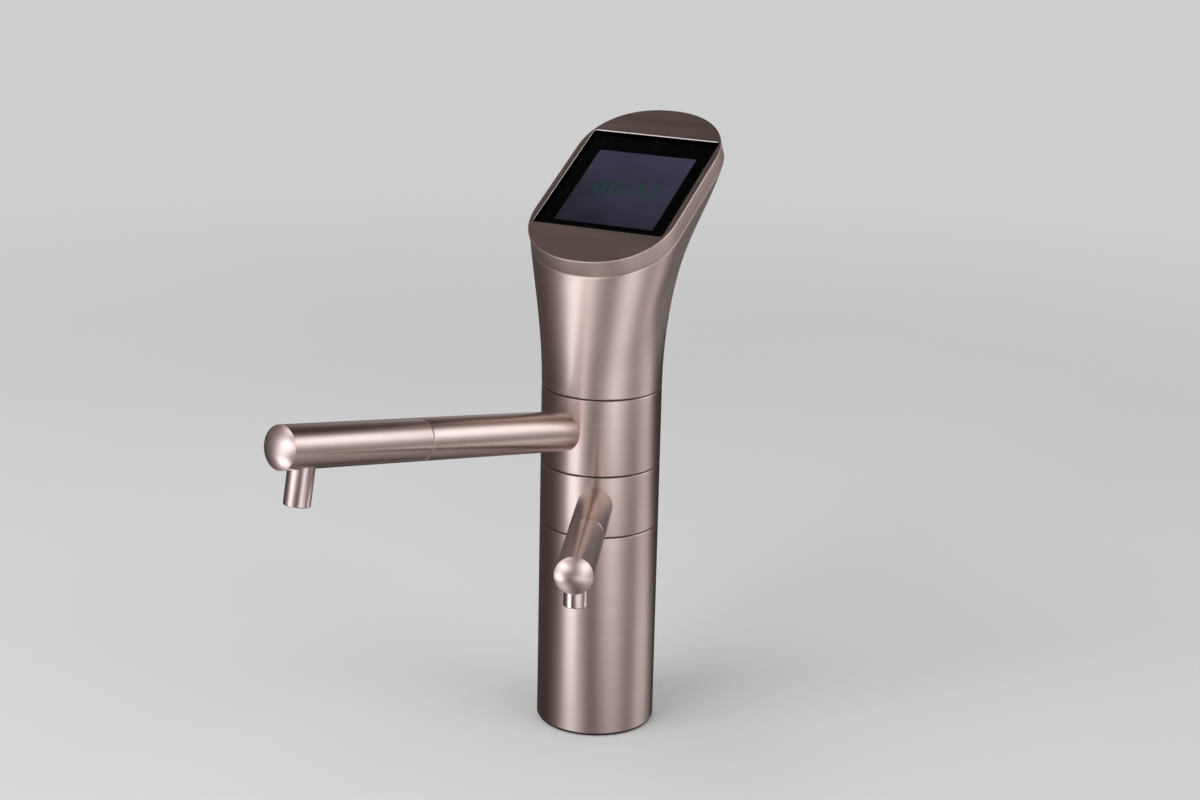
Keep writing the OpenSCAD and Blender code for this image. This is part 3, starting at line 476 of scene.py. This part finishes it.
def rounded(corners):
    """Profile with an arc of the corner's third value, where it has one."""
    out = []
    n = len(corners)
    for i, corner in enumerate(corners):
        p = Vector(corner[:2])
        radius = corner[2] if len(corner) > 2 else 0
        if not radius:
            out.append((p.x, p.y))
            continue
        before = (Vector(corners[i - 1][:2]) - p).normalized()
        after = (Vector(corners[(i + 1) % n][:2]) - p).normalized()
        half = before.angle(after) / 2
        reach = radius / math.tan(half)
        start, end = p + before * reach, p + after * reach
        centre = p + (before + after).normalized() * radius / math.sin(half)
        a, b = start - centre, end - centre
        for k in range(CORNER_STEPS + 1):
            t = k / CORNER_STEPS
            arm = (a * (1 - t) + b * t).normalized() * radius
            out.append(tuple(centre + arm))
    return out


def ring_mesh(name, rings, around, along, ends):
    """Faces through equal loops. ends: loop joins last to first, caps fills both, open neither."""
    n = len(rings[0])
    verts = [v for ring in rings for v in ring]
    faces = []
    uvs = []
    last = len(rings) if ends == "loop" else len(rings) - 1
    for i in range(last):
        a, b = i * n, ((i + 1) % len(rings)) * n
        for j in range(n):
            k = (j + 1) % n
            faces.append((a + j, a + k, b + k, b + j))
            uvs += [(around[j], along[i]), (around[j + 1], along[i]),
                    (around[j + 1], along[i + 1]), (around[j], along[i + 1])]
    if ends == "caps":
        for base, order in ((0, range(n - 1, -1, -1)), ((len(rings) - 1) * n, range(n))):
            faces.append([base + j for j in order])
            uvs += [(verts[base + j][0] * MM, verts[base + j][1] * MM) for j in order]
    mesh = bpy.data.meshes.new(name)
    mesh.from_pydata([Vector(v) * MM for v in verts], [], faces)
    layer = mesh.uv_layers.new(name="UVMap")
    for item, uv in zip(layer.data, uvs):
        item.uv = uv
    return mesh


def add_object(name, data):
    made = bpy.data.objects.new(name, data)
    bpy.context.scene.collection.objects.link(made)
    return made


def finish_piece(mesh, matrix, material, body, replaces=(), sharp=SHARP):
    """Piece from a mesh in metres, placed by a matrix in millimetres."""
    placed = matrix.copy()
    placed.translation *= MM
    mesh.transform(placed)
    mesh.validate()
    mesh.polygons.foreach_set("use_smooth", [True] * len(mesh.polygons))
    mesh.set_sharp_from_angle(angle=math.radians(sharp))
    mesh.materials.append(material)
    piece = add_object(mesh.name, mesh)
    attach(piece, body)
    if replaces:
        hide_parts(*replaces)


def lathe(cad_node, corners, matrix, material, body, segments=TUBE_SEGMENTS, ends="loop"):
    """Turns a profile of (radius, height, corner radius) about the matrix's Z axis."""
    profile = rounded(corners)
    widest = max(p[0] for p in profile)
    rings = [[(r * math.cos(a), r * math.sin(a), z) for a in full_turn(segments)]
             for r, z in profile]
    around = [2 * math.pi * widest * MM * k / segments for k in range(segments + 1)]
    along = [0.0]
    closed = profile + [profile[0]]
    for p, q in zip(closed, closed[1:]):
        along.append(along[-1] + math.dist(p, q) * MM)
    mesh = ring_mesh(cad_node + "_skin", rings, around, along, ends)
    finish_piece(mesh, matrix, material, body, [cad_node])


# ---------------------------------------------------------------- column and spouts
UPRIGHT = Matrix.Identity(4)


def tube_profile(outer, inner, low, high, low_edge, high_edge):
    return [(inner, low), (outer, low, low_edge), (outer, high, high_edge), (inner, high)]


def build_column():
    for cad_node, bore, (low, high), body in (
            ("base_tube", BASE_BORE_R, BASE_Z, "column"),
            ("lower_ring", RING_BORE_R, LOWER_RING_Z, "lower_spout"),
            ("upper_ring", RING_BORE_R, UPPER_RING_Z, "upper_spout")):
        lathe(cad_node, tube_profile(COLUMN_R, bore, low, high, EDGE, EDGE), UPRIGHT, nickel, body,
              COLUMN_SEGMENTS)


def spout_matrix(s):
    """Frame of a spout: X along the tube from the column's axis, Z up."""
    axis_z = s["ring_mid"] - COLUMN_R * math.tan(math.radians(s["rise"])) + s["drop"]
    return (Matrix.Translation((0, 0, axis_z))
            @ Matrix.Rotation(math.radians(s["heading"]), 4, "Z")
            @ Matrix.Rotation(-math.radians(s["rise"]), 4, "Y"))


def build_spout(s):
    """Two lengths of tube that meet in a seam, a domed cap and a nozzle that points down."""
    name, body, r = s["name"], s["body"], s["r"]
    bore = r - TUBE_WALL
    along_tube = spout_matrix(s) @ Matrix.Rotation(math.pi / 2, 4, "Y")
    lathe(name + "_root_tube", tube_profile(r, bore, SOCKET_AT, s["seam"], 0, SEAM_EDGE),
          along_tube, tube_nickel, body)
    lathe(name + "_front_tube", tube_profile(r, bore, s["seam"], s["rim"], SEAM_EDGE, 0),
          along_tube, tube_nickel, body)

    ball = r / math.sin(math.radians(DOME_SLOPE))
    centre = s["rim"] - ball * math.cos(math.radians(DOME_SLOPE))
    cap = [(bore - CAP_GAP, s["rim"] - CAP_PLUG), (bore - CAP_GAP, s["rim"])]
    for k in range(DOME_STEPS):
        a = math.radians(DOME_SLOPE * (1 - k / DOME_STEPS))
        cap.append((ball * math.sin(a), centre + ball * math.cos(a)))
    cap.append((DOME_TIP_R, centre + ball - DOME_TIP_DROP))
    lathe(name + "_end_cap", cap, along_tube, cap_nickel, body, ends="caps")

    outer, mouth = s["nozzle_r"], r + s["nozzle_l"]
    inner = outer - NOZZLE_WALL
    pipe = [(inner, bore), (outer, bore - NOZZLE_ROOT),
            (outer, mouth, NOZZLE_OUTER_EDGE), (inner, mouth, NOZZLE_INNER_EDGE)]
    down = (spout_matrix(s) @ Matrix.Translation((s["rim"] - s["nozzle_back"], 0, 0))
            @ Matrix.Rotation(math.pi, 4, "X"))
    lathe(name + "_nozzle", pipe, down, polished, body, NOZZLE_SEGMENTS)


# ---------------------------------------------------------------- head
HEAD_MATRIX = (Matrix.Translation((0, HEAD_SETBACK, HEAD_H))
               @ Matrix.Rotation(math.radians(HEAD_TILT), 4, "X"))
GLASS_MATRIX = HEAD_MATRIX @ Matrix.Translation((0, GLASS_SHIFT, 0))


def bezier(p, t):
    a, b, c, d = [Vector(q) for q in p]
    return (1 - t) ** 3 * a + 3 * (1 - t) ** 2 * t * b + 3 * (1 - t) * t * t * c + t ** 3 * d


def full(c, e):
    """Cosine or sine of a superellipse: 2 is a circle, more is fuller."""
    return math.copysign(abs(c) ** (2 / e), c)


def outline(half_w, half_l, e):
    """Long loop: two rounded ends and straight sides, the same number of points for any size."""
    flat = max(half_l - half_w, SHORTEST_SIDE)
    loop = []
    for start, shift in ((0, flat), (math.pi, -flat)):
        for i in range(OUTLINE_STEPS + 1):
            a = start + math.pi * i / OUTLINE_STEPS
            loop.append((half_w * full(math.cos(a), e), half_w * full(math.sin(a), e) + shift))
    return loop


def face_point(v, w):
    """Place in the head's middle plane: v up the tilted face, w out of it."""
    c, s = math.cos(math.radians(HEAD_TILT)), math.sin(math.radians(HEAD_TILT))
    return Vector((HEAD_SETBACK + v * c - w * s, HEAD_H + v * s + w * c))


def shell_lines():
    """Curves from foot to rim along the shell's front and rear, each as four control points."""
    front_foot, rear_foot = Vector((-COLUMN_R, HEAD_FOOT)), Vector((COLUMN_R, HEAD_FOOT))
    front_rim = face_point(-COVER_HALF_L - SHELL_STEP, -COVER_T)
    rear_rim = face_point(COVER_HALF_L + SHELL_STEP, -COVER_T)
    lean = math.radians(FLARE_ANGLE)
    up = Vector((0, 1))
    front = (front_foot, front_foot + up * FRONT_TURN, front_rim - up * FRONT_TURN, front_rim)
    rear = (rear_foot, rear_foot + up * FLARE_START,
            rear_rim - FLARE_END * Vector((math.sin(lean), math.cos(lean))), rear_rim)
    return front, rear


def shell_section(t, inset, lines):
    """Loop at the share t of the way up, drawn in by the inset."""
    front, rear = bezier(lines[0], t ** FRONT_RATE), bezier(lines[1], t)
    mid, span = (front + rear) / 2, rear - front
    along = span.normalized()
    half_w = COLUMN_R + (COVER_HALF_W + SHELL_STEP - COLUMN_R) * t ** WIDTH_RATE
    half_l = max(span.length / 2, half_w)
    e = 2 + (COVER_FULLNESS - 2) * t
    return [Vector((x, mid.x + y * along.x, mid.y + y * along.y))
            for x, y in outline(half_w - inset, half_l - inset, e)]


def build_head_shell():
    """Outer skin from a rounded foot to a finely rounded rim, then the inner skin back down."""
    lines = shell_lines()
    rim_share = RIM_EDGE / (3 * FLARE_END)
    rings = []
    for a in quarter_turn():
        lift = Vector((0, 0, EDGE * (1 - math.cos(a))))
        rings.append([p + lift for p in shell_section(0, EDGE * (1 - math.sin(a)), lines)])
    rings += [shell_section(FOOT_SHARE + (1 - FOOT_SHARE - rim_share) * i / SHELL_OUTER_STEPS,
                            0, lines) for i in range(SHELL_OUTER_STEPS)]
    rings += [shell_section(1 - rim_share * (1 - math.sin(a)), RIM_EDGE * (1 - math.cos(a)), lines)
              for a in quarter_turn()]
    rings += [shell_section(1 - i / SHELL_INNER_STEPS, SHELL_WALL, lines)
              for i in range(SHELL_INNER_STEPS + 1)]
    along = path_lengths([ring[0] for ring in rings + rings[:1]], SHORTEST_V)
    mesh = ring_mesh("head_shell_skin", rings, round_lengths(rings[SHELL_U_RING]), along, "loop")
    # the shell takes the lighter nickel, painted light
    finish_piece(mesh, UPRIGHT, head_nickel_painted_light, "column", ["head_shell"], SHARP_LOFT)


def round_rect(w, l, r):
    loop = []
    for cx, cy, start in ((1, 1, 0), (-1, 1, 90), (-1, -1, 180), (1, -1, 270)):
        for k in range(RECT_STEPS + 1):
            a = math.radians(start + 90 * k / RECT_STEPS)
            loop.append((cx * (w / 2 - r) + r * math.cos(a), cy * (l / 2 - r) + r * math.sin(a)))
    return loop


def flat_sheet(name, outer, inner, z, matrix, material):
    """Flat face between two loops, or inside one, facing up."""
    loops = [outer] + ([inner] if inner else [])
    points = [(x, y, z) for loop in loops for x, y in loop]
    tris = tessellate_polygon([[Vector((x, y, 0)) for x, y in loop] for loop in loops])
    faces = []
    for a, b, c in tris:
        pa, pb, pc = [Vector(points[i]) for i in (a, b, c)]
        faces.append((a, b, c) if (pb - pa).cross(pc - pa).z > 0 else (a, c, b))
    mesh = bpy.data.meshes.new(name)
    mesh.from_pydata([Vector(p) * MM for p in points], [], faces)
    layer = mesh.uv_layers.new(name="UVMap")
    for item, loop in zip(layer.data, mesh.loops):
        x, y, _ = points[loop.vertex_index]
        item.uv = (x * MM, y * MM)
    finish_piece(mesh, matrix, material, "column")


def cover_loop(inset, z):
    """The cover's outline, drawn in by the inset."""
    return [(x, y, z) for x, y in
            outline(COVER_HALF_W - inset, COVER_HALF_L - inset, COVER_FULLNESS)]


def glass_loop(grow, z, corner=GLASS_CORNER):
    """The glass's outline in the cover's frame, grown all round."""
    return [(x, y + GLASS_SHIFT, z) for x, y in
            round_rect(GLASS_W + 2 * grow, GLASS_L + 2 * grow, corner + grow)]


def build_cover():
    """Rim and face of the cover, with the recess and the ledge for the display."""
    rim = [cover_loop(COVER_WALL, z) for z in (LEDGE_BACK, -COVER_T)]
    outside = [cover_loop(0.0, -COVER_T)]
    outside += [cover_loop(COVER_EDGE * (1 - math.cos(a)), -COVER_EDGE * (1 - math.sin(a)))
                for a in quarter_turn()]
    rim += outside
    mesh = ring_mesh("cover_rim_skin", rim, round_lengths(outside[0]),
                     path_lengths([ring[0] for ring in rim]), "open")
    finish_piece(mesh, HEAD_MATRIX, rim_nickel, "column", ["head_cover"],
                 SHARP_LOFT)

    mouth = glass_loop(GLASS_GAP + RECESS_EDGE, 0.0)
    # the face takes the darker nickel, painted shade
    flat_sheet("cover_face_skin", [p[:2] for p in outside[-1]], [p[:2] for p in mouth], 0.0,
               HEAD_MATRIX, dark_nickel)
    wall = [glass_loop(GLASS_GAP + RECESS_EDGE * (1 - math.sin(a)),
                       -RECESS_EDGE * (1 - math.cos(a))) for a in quarter_turn()]
    wall.append(glass_loop(GLASS_GAP, -GLASS_SINK))
    bed = [glass_loop(GLASS_GAP, z) for z in (-GLASS_SINK, LEDGE_TOP)]
    bed += [glass_loop(GLASS_GAP - LEDGE_W, z, GLASS_CORNER + LEDGE_W)
            for z in (LEDGE_TOP, LEDGE_BACK)]
    for name, loops, material, slot in (("cover_recess_skin", wall, polished, "satin_nickel"),
                                        ("glass_bed_skin", bed, black_mask, "black_rubber")):
        mesh = ring_mesh(name, loops, round_lengths(loops[0]),
                         path_lengths([loop[0] for loop in loops]), "open")
        finish_piece(mesh, HEAD_MATRIX, material, "column")


def build_glass(back):
    """Pane from the height of its back to its finely rounded upper edge."""
    levels = [(0.0, back)]
    levels += [(GLASS_EDGE * (1 - math.cos(a)), -GLASS_SINK - GLASS_EDGE * (1 - math.sin(a)))
               for a in quarter_turn()]
    rings = [[(x, y, z) for x, y in
              round_rect(GLASS_W - 2 * inset, GLASS_L - 2 * inset, GLASS_CORNER)]
             for inset, z in levels]
    along = [MM * i for i in range(len(rings) + 1)]
    mesh = ring_mesh("display_glass_skin", rings, round_lengths(rings[0]), along, "caps")
    finish_piece(mesh, GLASS_MATRIX, glass, "column", ["display_glass"])


def build_display():
    """Glass, the black border under it, the lit panel and its digits, with no two in touch."""
    back = -GLASS_SINK - GLASS_T
    build_glass(back + GLASS_LIFT)
    dx, dy = SCREEN_SHIFT
    shown = [(x + dx, y + dy) for x, y in round_rect(SCREEN_W, SCREEN_L, SCREEN_CORNER)]
    flat_sheet("glass_mask", round_rect(GLASS_W + GLASS_GAP, GLASS_L + GLASS_GAP, GLASS_CORNER),
               shown, back + MASK_LIFT, GLASS_MATRIX, glass_print)
    flat_sheet("lcd_screen", round_rect(LCD_W, LCD_L, SCREEN_CORNER), None, back + SCREEN_LIFT,
               GLASS_MATRIX, screen)
    build_digits(back + DIGIT_LIFT)


def stroke(points, width):
    """Left and right edge of a line of constant width."""
    left, right = [], []
    n = len(points)
    for i, p in enumerate(points):
        a, b = points[max(i - 1, 0)], points[min(i + 1, n - 1)]
        if points[0] == points[-1] and i in (0, n - 1):
            a, b = points[-2], points[1]
        d = Vector((b[0] - a[0], b[1] - a[1])).normalized()
        side = Vector((-d.y, d.x)) * width / 2
        left.append((p[0] + side.x, p[1] + side.y))
        right.append((p[0] - side.x, p[1] - side.y))
    return left, right


def digit_zero(w, h):
    loop = [(w / 2 * full(math.cos(a), ZERO_FULLNESS), h / 2 * full(math.sin(a), ZERO_FULLNESS))
            for a in full_turn(ZERO_POINTS)]
    return loop + loop[:1]


def digit_two(w, h):
    r = w / 2
    bow = [(r * math.cos(a), h / 2 - r + r * math.sin(a)) for a in
           (math.radians(TWO_BOW_START - TWO_BOW_TURN * k / TWO_BOW_STEPS)
            for k in range(TWO_BOW_STEPS + 1))]
    return bow + [(-r, -h / 2 + TWO_FOOT), (-r, -h / 2), (r, -h / 2)]


def build_digits(z):
    """Plain digits 00 02 on the LCD."""
    dx, dy = SCREEN_SHIFT
    verts, faces = [], []
    for x, maker in zip(DIGIT_PLACES, (digit_zero, digit_zero, digit_zero, digit_two)):
        points = maker(DIGIT_W, DIGIT_H)
        base = len(verts)
        for edges in zip(*stroke(points, DIGIT_PEN)):
            verts += [(dx + x + ex + DIGIT_SLANT * ey, dy + ey, z) for ex, ey in edges]
        for i in range(len(points) - 1):
            a = base + 2 * i
            faces.append((a, a + 1, a + 3, a + 2))
    mesh = bpy.data.meshes.new("display_digits")
    mesh.from_pydata([Vector(v) * MM for v in verts], [], faces)
    mesh.uv_layers.new(name="UVMap")
    finish_piece(mesh, GLASS_MATRIX, digit_green, "column")


def dress_cad_nodes():
    """Every CAD node gets its slot's material, or a plain one where that needs a UV map."""
    slots = {m["node"]: m["material_slot"] for m in frame["record"]["subparts"]}
    for name, obj in NODES.items():
        mat = SLOT_MATERIAL[slots[name]]
        if mat in (nickel, dark_nickel, screen):
            mat = steel if name != "lcd_panel" else black_plastic
        obj.data.materials.clear()
        obj.data.materials.append(mat)


# ---------------------------------------------------------------- studio
def direction(turn, lift):
    """Unit vector from the object, turned to the picture's right of the camera and lifted."""
    a = math.radians(CAMERA["azimuth"])
    to_camera = Vector((math.sin(a), -math.cos(a), 0))
    to_right = Vector((math.cos(a), math.sin(a), 0))
    t, l = math.radians(turn), math.radians(lift)
    flat = to_camera * math.cos(t) + to_right * math.sin(t)
    return flat * math.cos(l) + Vector((0, 0, 1)) * math.sin(l)


def build_lamp(name, turn, lift, distance, power):
    """Square area lamp aimed at the studio's centre; the metal sees the surround in its place."""
    data = bpy.data.lights.new(name, "AREA")
    data.shape = "RECTANGLE"
    data.size = data.size_y = LAMP_SIZE
    data.energy = power
    lamp = add_object(name, data)
    lamp.location = Vector(STUDIO_CENTRE) + direction(turn, lift) * distance
    lamp.rotation_mode = "QUATERNION"
    lamp.rotation_quaternion = direction(turn, lift).to_track_quat("Z", "Y")
    lamp.visible_camera = False
    lamp.visible_glossy = False


def build_floor():
    """Pale floor that keeps the object's shadow and runs out to an even pale tone."""
    mesh = bpy.data.meshes.new("floor")
    r, z = FLOOR_REACH, FLOOR_Z
    mesh.from_pydata([(-r, -r, z), (r, -r, z), (r, r, z), (-r, r, z)], [], [(0, 1, 2, 3)])
    floor = add_object("floor", mesh)
    mat, tree, shader = new_material("pale_floor")
    coords = object_coords(tree)
    cloud = noise(tree, coords, [FLOOR_CLOUD_SCALE] * 3, detail=2.0)
    plug(tree, shader, {"Base Color": ramp(tree, cloud, [FLOOR_TONE - FLOOR_CLOUD] * 3,
                                           [FLOOR_TONE + FLOOR_CLOUD] * 3),
                        "Roughness": FLOOR_ROUGH,
                        "Specular IOR Level": 0.0})
    far = add_node(tree, "ShaderNodeVectorMath", {0: coords}, operation="LENGTH")
    fade = add_node(tree, "ShaderNodeMapRange",
                    {"From Min": FLOOR_FADE[0], "From Max": FLOOR_FADE[1],
                     "Value": far.outputs["Value"]}, interpolation_type="SMOOTHSTEP")
    path = add_node(tree, "ShaderNodeLightPath")
    share = math_node(tree, "MULTIPLY", fade.outputs[0], path.outputs["Is Camera Ray"])
    even = add_node(tree, "ShaderNodeEmission", {"Color": (*BACKGROUND, 1)})
    mix = add_node(tree, "ShaderNodeMixShader",
                   {0: share, 1: shader.outputs[0], 2: even.outputs[0]})
    plug(tree, tree.nodes["Material Output"], {0: mix.outputs[0]})
    mesh.materials.append(mat)
    floor.visible_glossy = False


def build_world():
    """Even light, and an even background for the camera."""
    world = bpy.data.worlds.new("studio")
    bpy.context.scene.world = world
    world.use_nodes = True
    tree = world.node_tree
    tree.nodes.clear()
    seen = add_node(tree, "ShaderNodeBackground", {"Color": (*BACKGROUND, 1)})
    lamp = add_node(tree, "ShaderNodeBackground", {"Color": (*WORLD_LIGHT, 1)})
    path = add_node(tree, "ShaderNodeLightPath")
    mix = add_node(tree, "ShaderNodeMixShader", {0: path.outputs["Is Camera Ray"],
                                                 1: lamp.outputs[0], 2: seen.outputs[0]})
    add_node(tree, "ShaderNodeOutputWorld", {0: mix.outputs[0]})


def bright(level, share):
    """Light of this level: the dim part of the room is warm, the boxes a little cool."""
    seen = level * share
    green, blue = [min(dark + gain * seen, most) for dark, gain, most in (GREEN_SHARE, BLUE_SHARE)]
    return (level, level * green, level * blue, 1)


def level_ramp(tree, value, stops, limits, share=None):
    """Colour ramp through (place, level) stops between the limits, grey without a share."""
    low, high = limits
    spread = add_node(tree, "ShaderNodeMapRange",
                      {"From Min": low, "From Max": high, "Value": value})
    made = add_node(tree, "ShaderNodeValToRGB", {0: spread.outputs[0]})
    made.color_ramp.interpolation = "EASE"
    elements = made.color_ramp.elements
    while len(elements) < len(stops):
        elements.new(0.5)
    for element, (place, level) in zip(elements, stops):
        element.position = (place - low) / (high - low)
        element.color = bright(level, share) if share else (level, level, level, 1)
    return made.outputs[0]


def lift_share(lift):
    """Strength of the surround at a lift."""
    stops = SURROUND_LIFT
    for (a, low), (b, high) in zip(stops, stops[1:]):
        if a <= lift <= b:
            return low + (high - low) * (lift - a) / (b - a)
    return stops[-1][1]


def surround_mesh():
    """Sphere: its lowest and highest point, then rings from the bottom up."""
    around, high, radius = SURROUND_AROUND, SURROUND_HIGH, SURROUND_R
    verts = [(0, 0, -radius), (0, 0, radius)]
    for i in range(1, high):
        lift = math.pi * (i / high - 0.5)
        verts += [(radius * math.cos(lift) * math.cos(a), radius * math.cos(lift) * math.sin(a),
                   radius * math.sin(lift)) for a in full_turn(around)]
    faces = []
    for k in range(around):
        n = (k + 1) % around
        faces.append((0, 2 + k, 2 + n))
        faces.append((1, len(verts) - around + n, len(verts) - around + k))
        for i in range(high - 2):
            a, b = 2 + i * around, 2 + (i + 1) * around
            faces.append((a + n, a + k, b + k, b + n))
    mesh = bpy.data.meshes.new("surround")
    mesh.from_pydata(verts, [], faces)
    return mesh


def surround_material():
    """Glow by turn and lift, from the place on the sphere; its X axis points at the camera."""
    mat = bpy.data.materials.new("surround")
    mat.use_nodes = True
    tree = mat.node_tree
    tree.nodes.clear()
    axes = split_axes(tree, object_coords(tree))
    turn = math_node(tree, "DEGREES", math_node(tree, "ARCTAN2", axes["Y"], axes["X"]))
    height = math_node(tree, "DIVIDE", axes["Z"], SURROUND_R)
    lift = math_node(tree, "DEGREES", math_node(tree, "ARCSINE", height))
    colour, below = None, None
    for lift_at, stops in SURROUND_RINGS:
        ring = level_ramp(tree, turn, stops, ALL_TURNS, lift_share(lift_at))
        if colour is None:
            colour = ring
        else:
            rise = add_node(tree, "ShaderNodeMapRange",
                            {"From Min": below, "From Max": lift_at, "Value": lift},
                            interpolation_type="SMOOTHSTEP")
            blend = add_node(tree, "ShaderNodeMixRGB", {0: rise.outputs[0], 1: colour, 2: ring})
            colour = blend.outputs[0]
        below = lift_at
    strength = level_ramp(tree, lift, SURROUND_LIFT, ALL_LIFTS)
    glow = add_node(tree, "ShaderNodeEmission", {"Color": colour, "Strength": strength})
    add_node(tree, "ShaderNodeOutputMaterial", {0: glow.outputs[0]})
    mat.cycles.emission_sampling = "NONE"
    return mat


def build_surround():
    """Soft boxes and dark cards round the set, as the metal sees them: one shell, hidden from
    the camera, that gives no light of its own to the set."""
    mesh = surround_mesh()
    shell = add_object("surround", mesh)
    shell.location = STUDIO_CENTRE
    shell.rotation_euler = (0, 0, math.radians(CAMERA["azimuth"] - 90))
    mesh.materials.append(surround_material())
    shell.visible_camera = False
    shell.visible_diffuse = False
    shell.visible_shadow = False


def build_camera():
    a, yaw, pitch, roll = [math.radians(CAMERA[k]) for k in ("azimuth", "yaw", "pitch", "roll")]
    ahead = Vector((math.sin(yaw), math.cos(yaw), 0))
    right = Vector((math.cos(yaw), -math.sin(yaw), 0))
    up = Vector((0, 0, 1))
    forward = ahead * math.cos(pitch) - up * math.sin(pitch)
    above = up * math.cos(pitch) + ahead * math.sin(pitch)
    x_axis = right * math.cos(roll) + above * math.sin(roll)
    y_axis = above * math.cos(roll) - right * math.sin(roll)
    turn = Matrix.Rotation(a, 3, "Z")
    axes = Matrix([turn @ x_axis, turn @ y_axis, turn @ -forward]).transposed()
    data = bpy.data.cameras.new("camera")
    data.sensor_width = SENSOR_W
    data.lens = CAMERA["focal_px"] / CAMERA["width_px"] * data.sensor_width
    camera = add_object("camera", data)
    place = turn @ Vector((0, -CAMERA["radius"], CAMERA["height"])) * MM
    camera.matrix_world = Matrix.Translation(place) @ axes.to_4x4()
    data.clip_start, data.clip_end = CLIP
    bpy.context.scene.camera = camera


dress_cad_nodes()
build_column()
build_spout(UPPER)
build_spout(LOWER)
build_head_shell()
build_cover()
build_display()
build_floor()
build_world()
build_surround()
for lamp in LAMPS:
    build_lamp(**lamp)
build_camera()
bpy.context.scene.view_settings.view_transform = "Standard"
